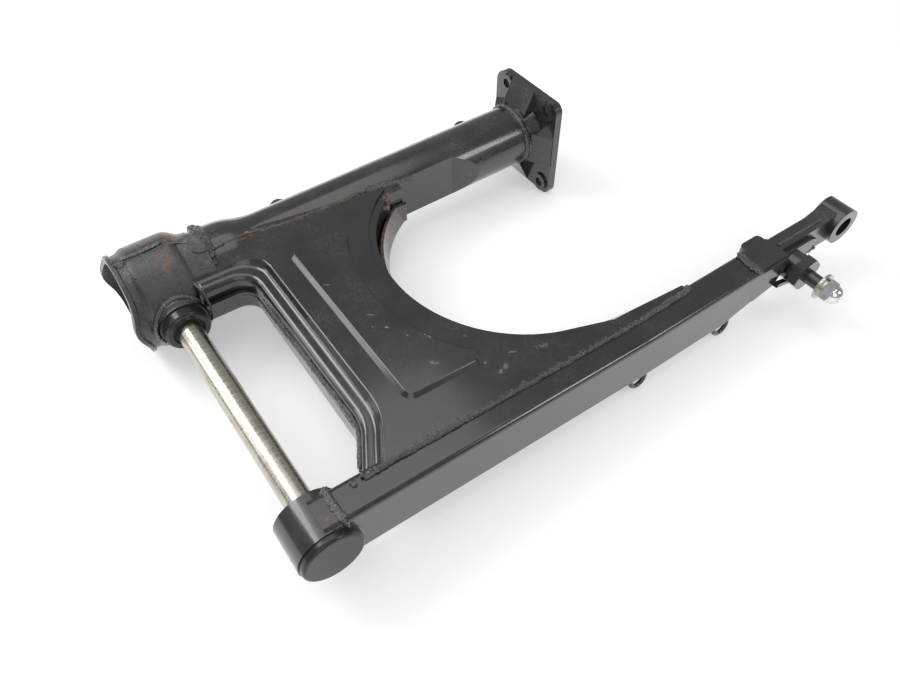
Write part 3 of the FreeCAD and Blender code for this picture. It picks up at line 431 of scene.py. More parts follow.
# Rust and chips seen in the photograph, as lines in millimetres.
TUBE_RUST = (
    Mark((51, 119.3, 30), (80, 121.8, 26.5), 4.0, 0.9),
    Mark((80, 121.8, 26.5), (118, 117.4, 24.6), 4.0, 0.9),
    Mark((118, 117.4, 24.6), (186, 118, 22.4), 5.0, 0.55),
)
ARC_RUST = (
    Mark((158, 62, -4), (188, 97, -2), 22.0, 0.95),
    Mark((190, 99, 2), (208, 103, -4), 14.0, 1.0),
    Mark((187, 106, 17), (192, 106, 17), 7.0, 1.0),
)
BELL_RUST = (
    Mark((6, 148, 38), (12, 147, 38), 9.0, 0.9),
    Mark((20, 140, 39), (30, 128, 39), 12.0, 1.0),
    Mark((5, 112, 36), (8, 122, 39), 12.0, 0.55),
    Mark((36, 114, 34), (36, 110, 32), 9.0, 0.75),
)
BOSS_RUST = (
    Mark((6, -122, 22), (9, -128, 19), 8.0, 0.85),
)
PANEL_CHIPS = (
    Mark((95, 39, 27.6), (97.5, 36.5, 27.6), 1.6, 0.5),
    Mark((119.9, 30.6, 25.6), (119.9, 30.6, 25.6), 0.8, 1.0),
    Mark((97.3, 76.1, 28.1), (97.3, 76.1, 28.1), 1.0, 0.5),
    Mark((105.5, -3, 26.5), (108.5, -6, 26.5), 1.2, 0.45),
    Mark((102.4, -15.1, 26.6), (103.2, -15.6, 26.6), 1.1, 0.7),
    Mark((110.5, -20.4, 26.1), (111.5, -21, 26.1), 1.5, 0.8),
    Mark((119.7, -32, 25.5), (119.0, -35, 25.5), 1.4, 0.5),
    Mark((129.6, -41, 24.8), (131.5, -46.5, 24.8), 1.4, 0.55),
    Mark((118, -63, 25.1), (122, -66, 25.1), 2.6, 0.35),
    Mark((153, -55, 20.6), (156, -57, 20.4), 1.8, 0.35),
    Mark((150.5, -82.5, 20.4), (150.5, -82.5, 20.4), 1.4, 0.9),
    Mark((170, -84, 19.3), (174, -86, 19.3), 1.3, 0.4),
    Mark((155, -94, 20), (161, -92, 19.7), 3.4, 0.35),
    Mark((190, -91, 18.2), (196, -93, 18.2), 2.6, 0.25),
)

PAINT = BlackPaint("gloss_black", marks=TUBE_RUST + ARC_RUST, chips=PANEL_CHIPS)
BEAM_PAINT = BlackPaint("beam_black", dust=0.25, marks=BOSS_RUST)
BELL_PAINT = BlackPaint("bell_black", gloss=0.26, dust=0.35, grain=3.0, grain_scale=850.0, marks=BELL_RUST,
                        coat=0.5)
TUBE_PAINT = BlackPaint("tube_black", gloss=0.22, dust=0.5, grain=0.12, marks=TUBE_RUST)
CAST_PAINT = BlackPaint("cast_black", gloss=0.24, dust=0.5, grain=0.35, grain_scale=500.0)
WELD_PAINT = BlackPaint("weld_black", gloss=0.12, dust=0.9, grain=5.0, grain_scale=900.0, coat=1.0)
RUSTY_WELD = BlackPaint("weld_brown", gloss=0.24, dust=0.6, grain=2.5, grain_scale=900.0, rust_base=0.5)
SCORCHED = BlackPaint("weld_orange", gloss=0.4, tone=0.35, rust_base=0.6)
COLLAR_STEEL = BareSteel("collar_steel")
WASHER_STEEL = BareSteel("washer_steel", tone=(0.66, 0.63, 0.55), streak=(300.0, 300.0, 300.0),
                         stains=0.4)
BEARING_STEEL = BareSteel("bearing_steel", tone=(0.62, 0.62, 0.63), stains=0.1, gloss=0.18)
NUT_CHROME = Chrome("nut_chrome")
CAP_PLASTIC = DarkPlastic("cap_plastic")
SEAL_RUBBER = DarkPlastic("seal_rubber", tone=0.02, gloss=0.5)


def dress(nodes: dict[str, Finish]) -> None:
    """Gives CAD nodes their finishes.

    Args:
        nodes: finish by node name.
    """
    for name, finish in nodes.items():
        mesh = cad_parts[name].data
        mesh.materials.clear()
        mesh.materials.append(finish.material())


@dataclass
class BeadPath:
    """The line of one weld in millimetres, and its look.

    The width is half the bead's width, the height a share of it, and the pitch the length of a ripple.
    """
    name: str
    points: list[Point]
    width: float = 2.6
    height: float = 0.55
    pitch: float = 1.9
    finish: Finish = WELD_PAINT
    closed: bool = False
    seed: int = 1
    rough: float = 0.55


class WeldBeads:
    """Lays weld beads: a low rippled core that wavers along its path, with lumps and caps."""
    sample = 0.36          # spacing of the core's rings, as a share of the pitch
    sides = 12             # sides of the core
    sway_scale = 130.0     # waver of the torch, in cells per metre
    sway_share = 0.9       # reach of the waver, as a share of the half width
    ripple = 0.07          # height of the ripples, as a share of the half width
    rough_scale = 620.0    # cells per metre of the rough skin
    lump_share = (0.35, 0.75)  # smallest and largest lump, as shares of the half width
    lump_rise = 1.12       # height of the lumps, as a share of the core's height
    lump_reach = 0.6       # how far lumps stray to a side, as a share of the half width

    def __init__(self) -> None:
        """Builds the geometry tree once for all beads."""
        self.tree = bpy.data.node_groups.new("weld_bead", "GeometryNodeTree")
        self.count = 0
        self._build()

    def _socket(self, knob: Knob, kind: str, value: float | int | None = None) -> None:
        """Adds an input to the tree.

        Args:
            knob: the input.
            kind: the socket's type.
            value: its default, or None.
        """
        item = self.tree.interface.new_socket(name=knob.value, in_out="INPUT", socket_type=kind)
        if value is not None:
            item.default_value = value

    def _build(self) -> None:
        """Fills the tree: swept core, lumps on it, then realised and painted."""
        self._socket(Knob.PATH, "NodeSocketGeometry")
        for knob, value in ((Knob.HALF_WIDTH, 0.0026), (Knob.FLATNESS, 0.6), (Knob.PITCH, 0.0019),
                            (Knob.ROUGHNESS, 0.5)):
            self._socket(knob, "NodeSocketFloat", value)
        self._socket(Knob.SEED, "NodeSocketInt", 1)
        self._socket(Knob.FINISH, "NodeSocketMaterial")
        self.tree.interface.new_socket(name="Bead", in_out="OUTPUT", socket_type="NodeSocketGeometry")
        graph = Graph(self.tree)
        source = graph.add("NodeGroupInput").outputs
        width, pitch = source[Knob.HALF_WIDTH.value], source[Knob.PITCH.value]
        seed, rough = source[Knob.SEED.value], source[Knob.ROUGHNESS.value]
        up = graph.add("GeometryNodeInputNamedAttribute", {"data_type": "FLOAT_VECTOR"}, Name="bead_up")
        up = up.outputs[0]
        line = graph.add("GeometryNodeMeshToCurve", Mesh=source[Knob.PATH.value])
        line = graph.add("GeometryNodeResampleCurve", {"mode": "LENGTH"}, Curve=line.outputs[0],
                         Length=graph.math("MULTIPLY", pitch, self.sample))
        line = self._waver(graph, line.outputs[0], up, width, seed)
        core = self._core(graph, line, up, source)
        lumps = self._lumps(graph, line, up, source)
        both = graph.add("GeometryNodeJoinGeometry")
        graph.feed(both, 0, core)
        graph.feed(both, 0, lumps)
        real = graph.add("GeometryNodeRealizeInstances", Geometry=both.outputs[0])
        place = graph.add("GeometryNodeInputPosition").outputs[0]
        coarse = graph.add("ShaderNodeTexNoise", {"noise_dimensions": "4D"}, Vector=place, W=seed,
                           Scale=self.rough_scale, Detail=3.0, Roughness=0.7)
        push = graph.vector("SUBTRACT", coarse.outputs[1], (0.5, 0.5, 0.5))
        push = self._scaled(graph, push, graph.math("MULTIPLY", width, rough))
        real = graph.add("GeometryNodeSetPosition", Geometry=real.outputs[0], Offset=push)
        smooth = graph.add("GeometryNodeSetShadeSmooth", Geometry=real.outputs[0])
        done = graph.add("GeometryNodeSetMaterial", Geometry=smooth.outputs[0],
                         Material=source[Knob.FINISH.value])
        out = graph.add("NodeGroupOutput")
        graph.feed(out, 0, done.outputs[0])

    @staticmethod
    def _scaled(graph: Graph, vector: Socket, factor: Any) -> Socket:
        """Multiplies a vector by a number.

        Args:
            graph: the tree's graph.
            vector: the vector's socket.
            factor: the number or its socket.

        Returns:
            The product's socket.
        """
        node = graph.add("ShaderNodeVectorMath", {"operation": "SCALE"}, Scale=factor)
        graph.feed(node, 0, vector)
        return node.outputs[0]

    def _waver(self, graph: Graph, line: Socket, up: Socket, width: Socket, seed: Socket) -> Socket:
        """Moves the path's points a little to both sides, as a hand-held torch does.

        Args:
            graph: the tree's graph.
            line: the resampled curve.
            up: the outward direction.
            width: half the bead's width.
            seed: the bead's seed.

        Returns:
            The wavering curve.
        """
        place = graph.add("GeometryNodeInputPosition").outputs[0]
        sway = graph.add("ShaderNodeTexNoise", {"noise_dimensions": "4D"}, Vector=place, W=seed,
                         Scale=self.sway_scale, Detail=1.0)
        sway = graph.math("SUBTRACT", sway.outputs[0], 0.5)
        across = graph.vector("CROSS_PRODUCT", up, graph.add("GeometryNodeInputTangent").outputs[0])
        reach = graph.math("MULTIPLY", graph.math("MULTIPLY", sway, self.sway_share), width)
        shift = self._scaled(graph, across, reach)
        return graph.add("GeometryNodeSetPosition", Geometry=line, Offset=shift).outputs[0]

    def _core(self, graph: Graph, line: Socket, up: Socket, source: Any) -> Socket:
        """Sweeps a closed core along the path and flattens it towards the seam.

        Args:
            graph: the tree's graph.
            line: the wavering curve.
            up: the outward direction.
            source: the group's inputs.

        Returns:
            The core's mesh.
        """
        width, pitch = source[Knob.HALF_WIDTH.value], source[Knob.PITCH.value]
        flatness = source[Knob.FLATNESS.value]
        place = graph.add("GeometryNodeInputPosition").outputs[0]
        stored = graph.add("GeometryNodeStoreNamedAttribute",
                           {"data_type": "FLOAT_VECTOR", "domain": "POINT"},
                           Geometry=line, Name="bead_middle", Value=place)
        run = graph.add("GeometryNodeSplineParameter").outputs["Length"]
        stored = graph.add("GeometryNodeStoreNamedAttribute",
                           {"data_type": "FLOAT", "domain": "POINT"},
                           Geometry=stored.outputs[0], Name="bead_run", Value=run)
        ring = graph.add("GeometryNodeCurvePrimitiveCircle", Resolution=self.sides, Radius=width)
        swept = graph.add("GeometryNodeCurveToMesh", Curve=stored.outputs[0])
        graph.feed(swept, "Profile Curve", ring.outputs[0])
        graph.feed(swept, "Fill Caps", True)
        middle = graph.add("GeometryNodeInputNamedAttribute", {"data_type": "FLOAT_VECTOR"},
                           Name="bead_middle")
        run = graph.add("GeometryNodeInputNamedAttribute", {"data_type": "FLOAT"}, Name="bead_run")
        offset = graph.vector("SUBTRACT", place, middle.outputs[0])
        rise = graph.vector("DOT_PRODUCT", offset, up, output=1)
        sink = graph.math("MULTIPLY", rise, graph.math("SUBTRACT", flatness, 1.0))
        low = self._scaled(graph, up, sink)
        turns = graph.math("DIVIDE", run.outputs[0], pitch)
        wave = graph.math("SINE", graph.math("MULTIPLY", turns, 6.2832))
        swell = graph.math("MULTIPLY", wave, self.ripple)
        ripple = self._scaled(graph, offset, swell)
        move = graph.vector("ADD", low, ripple)
        return graph.add("GeometryNodeSetPosition", Geometry=swept.outputs[0], Offset=move).outputs[0]

    def _lumps(self, graph: Graph, line: Socket, up: Socket, source: Any) -> Socket:
        """Puts uneven flattened balls on the path, one for each ripple.

        Args:
            graph: the tree's graph.
            line: the wavering curve.
            up: the outward direction.
            source: the group's inputs.

        Returns:
            The lumps' instances.
        """
        width, pitch = source[Knob.HALF_WIDTH.value], source[Knob.PITCH.value]
        seed, flatness = source[Knob.SEED.value], source[Knob.FLATNESS.value]
        sparse = graph.add("GeometryNodeResampleCurve", {"mode": "LENGTH"}, Curve=line, Length=pitch)
        points = graph.add("GeometryNodeCurveToPoints", {"mode": "EVALUATED"}, Curve=sparse.outputs[0])
        side = graph.vector("CROSS_PRODUCT", up, points.outputs["Tangent"])
        jitter = graph.add("FunctionNodeRandomValue", {"data_type": "FLOAT"}, Min=-self.lump_reach,
                           Max=self.lump_reach, Seed=seed)
        shift = self._scaled(graph, side, graph.math("MULTIPLY", jitter.outputs[1], width))
        spots = graph.add("GeometryNodeSetPosition", Geometry=points.outputs[0], Offset=shift)
        ball = graph.add("GeometryNodeMeshIcoSphere", Radius=1.0, Subdivisions=2)
        turn = graph.add("FunctionNodeAlignRotationToVector", {"axis": "Z", "pivot_axis": "AUTO"},
                         Vector=up)
        size = graph.add("FunctionNodeRandomValue", {"data_type": "FLOAT"}, Min=self.lump_share[0],
                         Max=self.lump_share[1], Seed=seed)
        wide = graph.math("MULTIPLY", size.outputs[1], width)
        tall = graph.math("MULTIPLY", graph.math("MULTIPLY", width, flatness), self.lump_rise)
        scale = graph.add("ShaderNodeCombineXYZ", X=wide, Y=wide, Z=tall)
        return graph.add("GeometryNodeInstanceOnPoints", Points=spots.outputs[0], Instance=ball.outputs[0],
                         Rotation=turn.outputs[0], Scale=scale.outputs[0]).outputs[0]

    def lay(self, path: BeadPath, up: Callable[[Point], Point]) -> bpy.types.Object:
        """Makes one bead as a plain mesh.

        Args:
            path: the bead's line and look.
            up: gives the outward direction at a point in millimetres.

        Returns:
            The bead's object.
        """
        mesh = bpy.data.meshes.new(path.name)
        spots = [metres(*point) for point in path.points]
        edges = [(index, index + 1) for index in range(len(spots) - 1)]
        if path.closed:
            edges.append((len(spots) - 1, 0))
        mesh.from_pydata(spots, edges, [])
        layer = mesh.attributes.new("bead_up", "FLOAT_VECTOR", "POINT")
        for index, point in enumerate(path.points):
            layer.data[index].vector = Vector(up(point)).normalized()
        thing = bpy.data.objects.new(path.name, mesh)
        bpy.context.scene.collection.objects.link(thing)
        modifier = thing.modifiers.new("bead", "NODES")
        modifier.node_group = self.tree
        keys = {item.name: item.identifier for item in self.tree.interface.items_tree
                if item.item_type == "SOCKET" and item.in_out == "INPUT"}
        values = {Knob.HALF_WIDTH: path.width * MM, Knob.FLATNESS: path.height, Knob.PITCH: path.pitch * MM,
                  Knob.SEED: path.seed, Knob.ROUGHNESS: path.rough, Knob.FINISH: path.finish.material()}
        for knob, value in values.items():
            modifier[keys[knob.value]] = value
        return self._bake(thing, path)

    def _bake(self, thing: bpy.types.Object, path: BeadPath) -> bpy.types.Object:
        """Turns the evaluated bead into a plain mesh on a fresh object.

        Args:
            thing: the object with the modifier.
            path: the bead's line and look.

        Returns:
            The baked object.
        """
        view = bpy.context.evaluated_depsgraph_get()
        baked = bpy.data.meshes.new_from_object(thing.evaluated_get(view))
        bpy.data.objects.remove(thing)
        bead = bpy.data.objects.new(path.name, baked)
        bpy.context.scene.collection.objects.link(bead)
        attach(bead, FRAME_BODY)
        self.count += len(baked.polygons)
        LOG.info("bead %s: %d faces", path.name, len(baked.polygons))
        return bead


@dataclass
class SubAssembly:
    """What the sub-assemblies share: each lays its seams, then dresses its nodes."""

    def build(self, beads: WeldBeads) -> None:
        """Lays the seams, of which a sub-assembly may have none.

        Args:
            beads: the bead maker.
        """

    def dress(self) -> None:
        """Finishes the nodes."""
        raise NotImplementedError


@dataclass
class BeamSide(SubAssembly):
    """The box beam with its boss and cap, and the seam of the cross member, in millimetres.

    A run gives the first place, the last one and the step of a seam along the beam.
    """
    outer: float = -130.5
    inner: float = -105.5
    lap: float = -111.5
    top_front: float = 24.5
    drop: float = 12.5
    bend: float = 263.0
    boss_radius: float = 22.5
    seam_run: tuple[int, int, int] = (37, 317, 4)
    under_run: tuple[int, int, int] = (40, 300, 6)
    under_z: float = -19.0
    under_slope: float = 0.03
    boss_back: float = 12.8
    boss_arc: float = 62.0
    arc_steps: int = 18
    block_x: float = 377.2
    block_z: float = 12.4

    def top(self, x: float) -> float:
        """Height of the beam's top face at x."""
        return self.top_front - self.drop * min(x, self.bend) / self.bend

    def build(self, beads: WeldBeads) -> None:
        """Lays the seams of the beam.

        Args:
            beads: the bead maker.
        """
        seam = [(x, self.lap - 0.2, self.top(x) + 0.9) for x in range(*self.seam_run)]
        seam += [(319.0, -111.0, 12.9), (321.0, -109.0, 12.7)]
        beads.lay(BeadPath("seam_on_beam", seam, 2.5, 0.6, 2.1, seed=3, rough=1.1),
                  lambda p: (0, -0.35, 1))
        spot = [(28.4, -111.5, 23.4), (30.8, -112.8, 23.3)]
        beads.lay(BeadPath("tack_on_beam", spot, 2.6, 0.6, 1.4, seed=4, rough=0.3), lambda p: (0, 0, 1))
        under = [(x, self.inner + 1.2, self.under_z - self.under_slope * x) for x in range(*self.under_run)]
        beads.lay(BeadPath("seam_under_beam", under, 2.4, 0.7, 2.2, seed=5), lambda p: (0, 0.7, -1))
        mouth = [(13.2 - 0.04 * (y + 130), y, self.top(12.5) + 0.1) for y in range(-129, -103, 2)]
        beads.lay(BeadPath("seam_boss_top", mouth, 3.1, 0.42, 2.3, seed=7, rough=0.7),
                  lambda p: (-0.2, 0, 1))
        cheek = [(self.boss_back, self.outer - 0.1, z) for z in (22.0, 19.0, 16.5, 14.5)]
        beads.lay(BeadPath("seam_boss_outer", cheek, 2.2, 0.4, 2.0, seed=6), lambda p: (-0.2, -1, 0))
        side = []
        for step in range(self.arc_steps + 1):
            angle = math.radians(self.boss_arc - 2 * self.boss_arc * step / self.arc_steps)
            side.append((self.boss_radius * math.cos(angle) + 0.6, self.inner + 0.4,
                         self.boss_radius * math.sin(angle)))
        beads.lay(BeadPath("seam_boss_inner", side, 2.2, 0.6, 2.0, seed=8),
                  lambda p: (p[0] / 30, 1.0, p[2] / 30))
        end = [(self.block_x + 0.05 * (y + 128), y, self.block_z) for y in range(-129, -105, 2)]
        beads.lay(BeadPath("seam_beam_end", end, 3.6, 0.42, 2.6, seed=9, rough=0.9),
                  lambda p: (0.1, 0, 1))

    def dress(self) -> None:
        """Paints the beam's nodes."""
        dress({"side_beam": BEAM_PAINT, "right_boss": BEAM_PAINT, "right_end_cap": CAP_PLASTIC,
               "beam_hoop_front": BEAM_PAINT, "beam_hoop_rear": BEAM_PAINT})


@dataclass
class CrossMember(SubAssembly):
    """The pressed shells and the two seams round the window, in millimetres."""
    front: float = 58.0
    leg: float = 90.0
    left_corner: float = 16.0
    right_corner: float = 40.0
    right_centre: float = -62.0
    inset: float = 2.0
    lip_z: float = 8.4
    lip_slope: float = 0.042
    lip_flat: float = 60.0
    run_out: tuple[float, float] = (5.0, 8.65)

    def build(self, beads: WeldBeads) -> None:
        """Lays the seam of the window.

        Args:
            beads: the bead maker.
        """
        line = [(x, self.leg - self.inset) for x in (20.0, 26.0, 32.0, 37.0, 42.0)]
        centre = (self.front - self.left_corner, self.leg - self.left_corner)
        radius = self.left_corner - self.inset
        for degrees in range(80, 0, -10):
            angle = math.radians(degrees)
            line.append((centre[0] + radius * math.cos(angle), centre[1] + radius * math.sin(angle)))
        line += [(self.front - self.inset, y) for y in range(72, -62, -4)]
        centre = (self.front - self.right_corner, self.right_centre)
        radius = self.right_corner - self.inset
        for degrees in range(0, -35, -5):
            angle = math.radians(degrees)
            line.append((centre[0] + radius * math.cos(angle), centre[1] + radius * math.sin(angle)))
        last = line[-1]
        line += [(last[0] - self.run_out[0] * step, last[1] - self.run_out[1] * step) for step in (1, 2)]
        seam = [(x, y, self.lip_z - self.lip_slope * min(y, self.lip_flat)) for x, y in line]
        beads.lay(BeadPath("seam_of_window", seam, 2.3, 0.6, 2.3, seed=11, rough=1.0), self._outwards)
        second = [(x + 0.3, y, z - 3.4 - 0.01 * (self.lip_flat - y)) for x, y, z in seam if y < 84.0]
        beads.lay(BeadPath("seam_of_window_low", second, 1.7, 0.6, 2.0, seed=12, rough=1.1),
                  self._outwards)

    def _outwards(self, point: Point) -> Point:
        """Direction out of the window's wall."""
        if point[1] > 76 and point[0] < 46:
            return (0.0, -1.0, 0.7)
        return (-1.0, 0.0, 0.7)

    def dress(self) -> None:
        """Paints the shells."""
        dress({"gusset_upper": PAINT, "gusset_lower": PAINT})


@dataclass
class DriveSide(SubAssembly):
    """Bell housing, shaft tube and rear flange with their seams, in millimetres.

    A pass gives its place along the shaft, its height over the swell, and its first and last angle.
    """
    axis: float = 133.0
    swell: float = 33.0
    tube: float = 27.0
    bell: float = 41.0
    boss: float = 20.6
    saddle_steps: int = 36
    taper_from: float = 14.0
    taper: float = 0.12
    passes: tuple[tuple[float, float, float, float], ...] = (
        (37.2, 4.2, 78, 122), (39.8, 2.2, 50, 126), (42.6, 0.7, 62, 118))

    def ring(self, x: float, radius: float, first: float, last: float) -> list[Point]:
        """Points round the shaft's axis.

        Args:
            x: place along the shaft.
            radius: radius in millimetres.
            first: first angle in degrees, 90 is up.
            last: last angle in degrees.

        Returns:
            The points.
        """
        count = max(8, int(abs(last - first) / 6))
        points = []
        for step in range(count + 1):
            angle = math.radians(first + (last - first) * step / count)
            points.append((x, self.axis + radius * math.cos(angle), radius * math.sin(angle)))
        return points

    def outwards(self, point: Point) -> Point:
        """Direction away from the shaft's axis."""
        return (0.0, point[1] - self.axis, point[2])

    def build(self, beads: WeldBeads) -> None:
        """Lays the seams of the drive side.

        Args:
            beads: the bead maker.
        """
        band = self.ring(39.4, self.swell + 0.4, 0, 351)
        beads.lay(BeadPath("seam_of_bell", band, 2.6, 0.6, 2.3, closed=True, seed=13), self.outwards)
        for number, (x, grow, first, last) in enumerate(self.passes):
            over = self.ring(x, self.swell + grow, first, last)
            beads.lay(BeadPath(f"pass_on_bell_{number}", over, 2.9, 0.55, 2.4, seed=60 + number, rough=1.2),
                      self.outwards)
        neck = self.ring(340.3, self.tube + 0.6, 20, 200)
        beads.lay(BeadPath("seam_of_flange", neck, 2.6, 0.6, 2.6, seed=17, rough=0.9), self.outwards)
        top = [(-19.6, 135.0, 41.4), (-12, 134.2, 41.6), (-5, 134.0, 41.6), (3, 134.3, 41.6),
               (8, 134.8, 41.5), (12, 136.2, 41.3)]
        beads.lay(BeadPath("seam_on_bell", top, 1.5, 0.6, 1.8, seed=19, rough=1.2), self.outwards)
        edge = [(-25.5, 132.6, 41.1), (-12.9, 131.7, 41.0), (2.3, 131.5, 41.0), (10.2, 131.8, 41.0),
                (17.6, 131.3, 40.5), (24.2, 129.2, 39.3), (30.9, 123.6, 38.2)]
        beads.lay(BeadPath("edge_on_bell", edge, 0.7, 0.7, 1.5, seed=20, rough=0.4), self.outwards)
        corner = [(29.0, 118.4, 36.8), (32.0, 116.4, 36.0), (36.0, 115.4, 35.4), (40.0, 116.6, 33.6)]
        beads.lay(BeadPath("tack_on_bell", corner, 1.7, 0.6, 2.0, seed=21, rough=0.8), self.outwards)
        joint = [(41, 120.0, 30.6), (46, 119.8, 30.6), (52, 120.0, 30.6)]
        beads.lay(BeadPath("seam_on_tube_front", joint, 2.1, 0.6, 2.2, seed=23, rough=0.9),
                  lambda p: (0, -0.45, 1))
        line = [(52, 119.6, 30.2), (60, 120.2, 29.6), (67, 121.2, 28.8), (73, 122.0, 27.8),
                (80, 121.6, 26.8), (87, 119.6, 26.2), (101, 118.2, 25.6), (118, 117.7, 24.7),
                (136, 118.0, 23.8)]
        beads.lay(BeadPath("seam_on_tube", line, 0.9, 0.6, 2.0, seed=24, finish=RUSTY_WELD),
                  lambda p: (0, -0.45, 1))
        spot = [(72.0, 123.0, 28.0), (73.6, 122.9, 27.8)]
        beads.lay(BeadPath("spot_on_tube", spot, 1.1, 0.5, 1.0, seed=25, finish=SCORCHED, rough=0.3),
                  self.outwards)
        rear = [(136, 118.0, 23.6), (156, 117.5, 22.8), (170, 118.3, 22.7), (180, 118.0, 22.4)]
        beads.lay(BeadPath("seam_on_tube_rear", rear, 1.3, 0.6, 2.2, seed=29, finish=RUSTY_WELD),
                  lambda p: (0, -0.35, 1))
        tail = [(178, 117.8, 22.3), (190, 117.2, 21.6), (200, 115.6, 20.2), (210, 114.6, 18.8),
                (219, 114.3, 18.2)]
        beads.lay(BeadPath("seam_at_tyre", tail, 3.0, 0.5, 2.4, seed=30, rough=0.9), lambda p: (0, -0.4, 1))
        saddle = []
        for step in range(self.saddle_steps):
            angle = math.radians(360 / self.saddle_steps * step)
            x, z = (self.boss + 0.5) * math.cos(angle), (self.boss + 0.5) * math.sin(angle)
            radius = self.bell - max(x - self.taper_from, 0.0) * self.taper
            saddle.append((x, self.axis - math.sqrt(radius ** 2 - z * z) - 0.8, z))
        beads.lay(BeadPath("seam_of_left_boss", saddle, 2.1, 0.7, 2.0, closed=True, seed=31, rough=0.6),
                  lambda p: (p[0], -14.0, p[2]))
        end = [(18.4, 99.6, 22.8), (19.2, 96.0, 22.4), (20.2, 92.2, 21.6), (20.8, 89.6, 18.6),
               (21.2, 87.6, 12.0), (21.6, 86.2, 6.0), (21.6, 85.9, 0.0)]
        beads.lay(BeadPath("seam_of_leg", end, 1.5, 0.7, 2.0, seed=33, rough=0.9),
                  lambda p: (-0.6, -0.8, 0.4))

    def dress(self) -> None:
        """Paints the nodes of the drive side."""
        dress({"bell_housing": BELL_PAINT, "shaft_tube": TUBE_PAINT, "rear_flange": CAST_PAINT,
               "tube_hoop_front": BEAM_PAINT, "tube_hoop_rear": BEAM_PAINT})


@dataclass
class AxleEnd(SubAssembly):
    """The bracket of the axle with the shock stud, in millimetres."""
    web: float = -121.0
    web_run: tuple[int, int, int] = (417, 473, 3)
    under_run: tuple[int, int, int] = (436, 466, 3)

    def build(self, beads: WeldBeads) -> None:
        """Lays the seams of the bracket.

        Args:
            beads: the bead maker.
        """
        top = [(x, -115.8, 8.4 - 0.012 * (x - self.web_run[0])) for x in range(*self.web_run)]
        beads.lay(BeadPath("seam_of_web", top, 1.3, 0.6, 1.9, seed=37, rough=0.6), lambda p: (0, -0.7, 1))
        low = [(x, self.web - 1.0, -15.0) for x in range(*self.under_run)]
        beads.lay(BeadPath("seam_under_web", low, 2.4, 0.8, 2.2, seed=41), lambda p: (0, -0.7, -1))

    def dress(self) -> None:
        """Paints the nodes of the axle end."""
        dress({"axle_bracket": CAST_PAINT, "bracket_web": PAINT, "stud_base": CAST_PAINT,
               "boss_brace": PAINT, "shock_stud": BEAM_PAINT, "wide_washer": WASHER_STEEL,
               "spring_washer": WASHER_STEEL, "acorn_nut": NUT_CHROME})


@dataclass
class PivotLine(SubAssembly):
    """Collar, bearings and seals, with no seams of their own."""

    def dress(self) -> None:
        """Finishes the nodes of the pivot line."""
        dress({"pivot_collar": COLLAR_STEEL, "left_boss": BELL_PAINT, "left_dust_ring": CAP_PLASTIC,
               "right_bearing_cup": BEARING_STEEL, "left_bearing_cup": BEARING_STEEL,
               "right_needles": BEARING_STEEL, "left_needles": BEARING_STEEL,
               "right_seal": SEAL_RUBBER, "left_seal": SEAL_RUBBER})


@dataclass(frozen=True)
class Lamp:
    """A soft square lamp: its place and aim in metres, its edge in metres and its power in watts."""
    name: str
    place: Point
    aim: Point
    size: float
    power: float

    def build(self) -> None:
        """Adds the lamp to the scene."""
        data = bpy.data.lights.new(self.name, "AREA")
        data.size = self.size
        data.energy = self.power
        thing = bpy.data.objects.new(self.name, data)
        thing.location = self.place
        gaze = Vector(self.aim) - Vector(self.place)
        thing.rotation_euler = gaze.to_track_quat("-Z", "Y").to_euler()
        bpy.context.scene.collection.objects.link(thing)


FRONT_AIM: Point = (0.1, 0.0, 0.0)
REAR_AIM: Point = (0.22, 0.0, 0.0)
LAMPS = (
    Lamp("key", (-0.52, 0.88, 1.15), FRONT_AIM, 0.75, 9.0),
    Lamp("low", (-1.00, 0.92, 0.50), FRONT_AIM, 0.40, 1.5),
    Lamp("side", (1.0, -1.1, 0.95), REAR_AIM, 0.45, 4.0),
    Lamp("top", (0.20, 0.20, 1.50), (0.20, 0.20, 0.0), 1.40, 7.0),
    Lamp("back", (-0.8, -1.3, 1.2), FRONT_AIM, 1.50, 6.0),
)


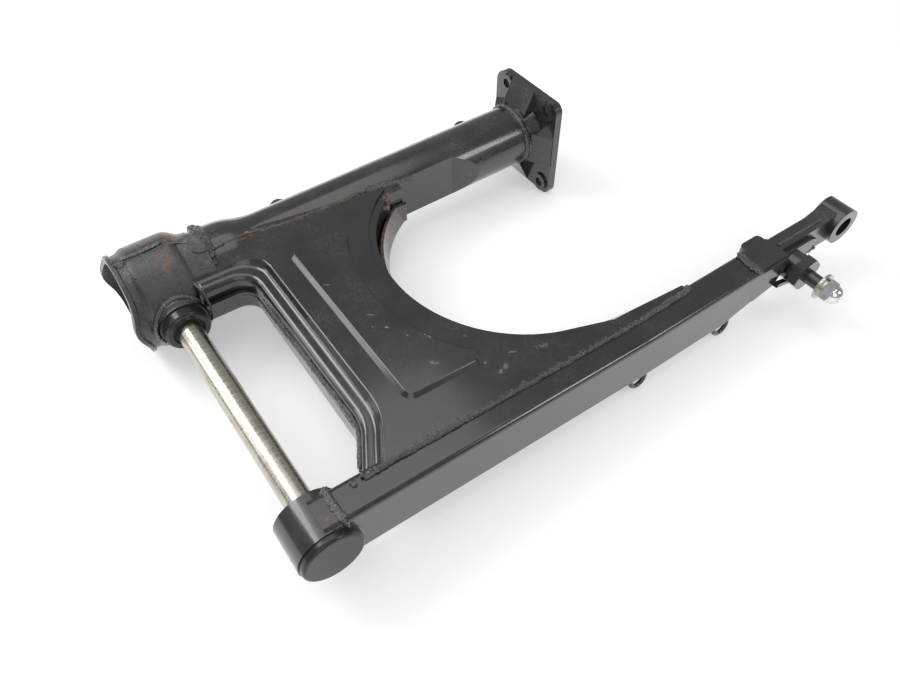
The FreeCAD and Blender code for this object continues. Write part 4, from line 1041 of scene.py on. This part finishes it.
@dataclass
class Studio:
    """Camera, floor, lamps and world.

    The eye is in millimetres, and the turn is the camera's rotation vector in radians.
    """
    eye: Point = (-52.1, -335.1, 437.7)
    turn: Point = (2.35077347, -0.748591415, 0.258286674)
    focal_pixels: float = 775.036655
    width_pixels: float = 900.0
    sensor: float = 36.0
    floor_z: float = -48.4
    floor_reach: float = 6.0
    floor_grey: float = 0.80
    floor_glow: float = 0.38
    sky: float = 0.35

    def camera(self) -> None:
        """Sets the camera where the photograph was taken from."""
        spin = Vector(self.turn)
        look = Matrix.Rotation(spin.length, 3, spin.normalized())
        right, down, ahead = look[0], look[1], look[2]
        pose = Matrix((right, -down, -ahead)).transposed().to_4x4()
        pose.translation = metres(*self.eye)
        data = bpy.data.cameras.new("photo_camera")
        data.sensor_width = self.sensor
        data.lens = self.focal_pixels / self.width_pixels * self.sensor
        data.clip_start = 0.01
        data.clip_end = 50.0
        camera = bpy.data.objects.new("photo_camera", data)
        camera.matrix_world = pose
        bpy.context.scene.collection.objects.link(camera)
        bpy.context.scene.camera = camera

    def floor(self) -> None:
        """Adds the pale floor, lighter for the camera, that keeps the shadow."""
        mesh = bpy.data.meshes.new("floor")
        reach, z = self.floor_reach, self.floor_z * MM
        corners = [(-reach, -reach, z), (reach, -reach, z), (reach, reach, z), (-reach, reach, z)]
        mesh.from_pydata(corners, [], [(0, 1, 2, 3)])
        thing = bpy.data.objects.new("floor", mesh)
        bpy.context.scene.collection.objects.link(thing)
        material = bpy.data.materials.new("floor")
        material.use_nodes = True
        graph = Graph(material.node_tree)
        shader = graph.add("ShaderNodeBsdfDiffuse", Color=(*[self.floor_grey] * 3, 1.0))
        rays = graph.add("ShaderNodeLightPath").outputs
        seen = graph.math("ADD", rays["Is Camera Ray"], rays["Is Glossy Ray"])
        seen = graph.math("ADD", seen, rays["Is Transmission Ray"], clamp=True)
        level = graph.math("MULTIPLY", seen, self.floor_glow)
        glow = graph.add("ShaderNodeEmission", Color=WHITE, Strength=level)
        both = graph.add("ShaderNodeAddShader")
        graph.feed(both, 0, shader.outputs[0])
        graph.feed(both, 1, glow.outputs[0])
        out = graph.add("ShaderNodeOutputMaterial")
        graph.feed(out, "Surface", both.outputs[0])
        mesh.materials.append(material)

    def world(self) -> None:
        """Sets an even pale surround, which the camera sees as white."""
        world = bpy.data.worlds.new("studio")
        bpy.context.scene.world = world
        world.use_nodes = True
        graph = Graph(world.node_tree)
        rays = graph.add("ShaderNodeLightPath").outputs
        seen = graph.math("ADD", rays["Is Camera Ray"], rays["Is Transmission Ray"], clamp=True)
        level = graph.math("ADD", graph.math("MULTIPLY", seen, 1.0 - self.sky), self.sky)
        sky = graph.add("ShaderNodeBackground", Color=WHITE, Strength=level)
        out = graph.add("ShaderNodeOutputWorld")
        graph.feed(out, "Surface", sky.outputs[0])

    def build(self) -> None:
        """Sets up the whole studio."""
        self.camera()
        self.floor()
        self.world()
        for lamp in LAMPS:
            lamp.build()
        bpy.context.scene.view_settings.view_transform = "Standard"


def main() -> None:
    """Builds and dresses each sub-assembly, then the studio."""
    logging.basicConfig(level=logging.INFO, format="%(message)s")
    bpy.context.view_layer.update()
    beads = WeldBeads()
    for part in (PivotLine(), BeamSide(), CrossMember(), DriveSide(), AxleEnd()):
        part.build(beads)
        part.dress()
        LOG.info("%s is built and dressed", type(part).__name__)
    Studio().build()
    LOG.info("beads have %d faces in all", beads.count)


if __name__ == "__main__":
    main()
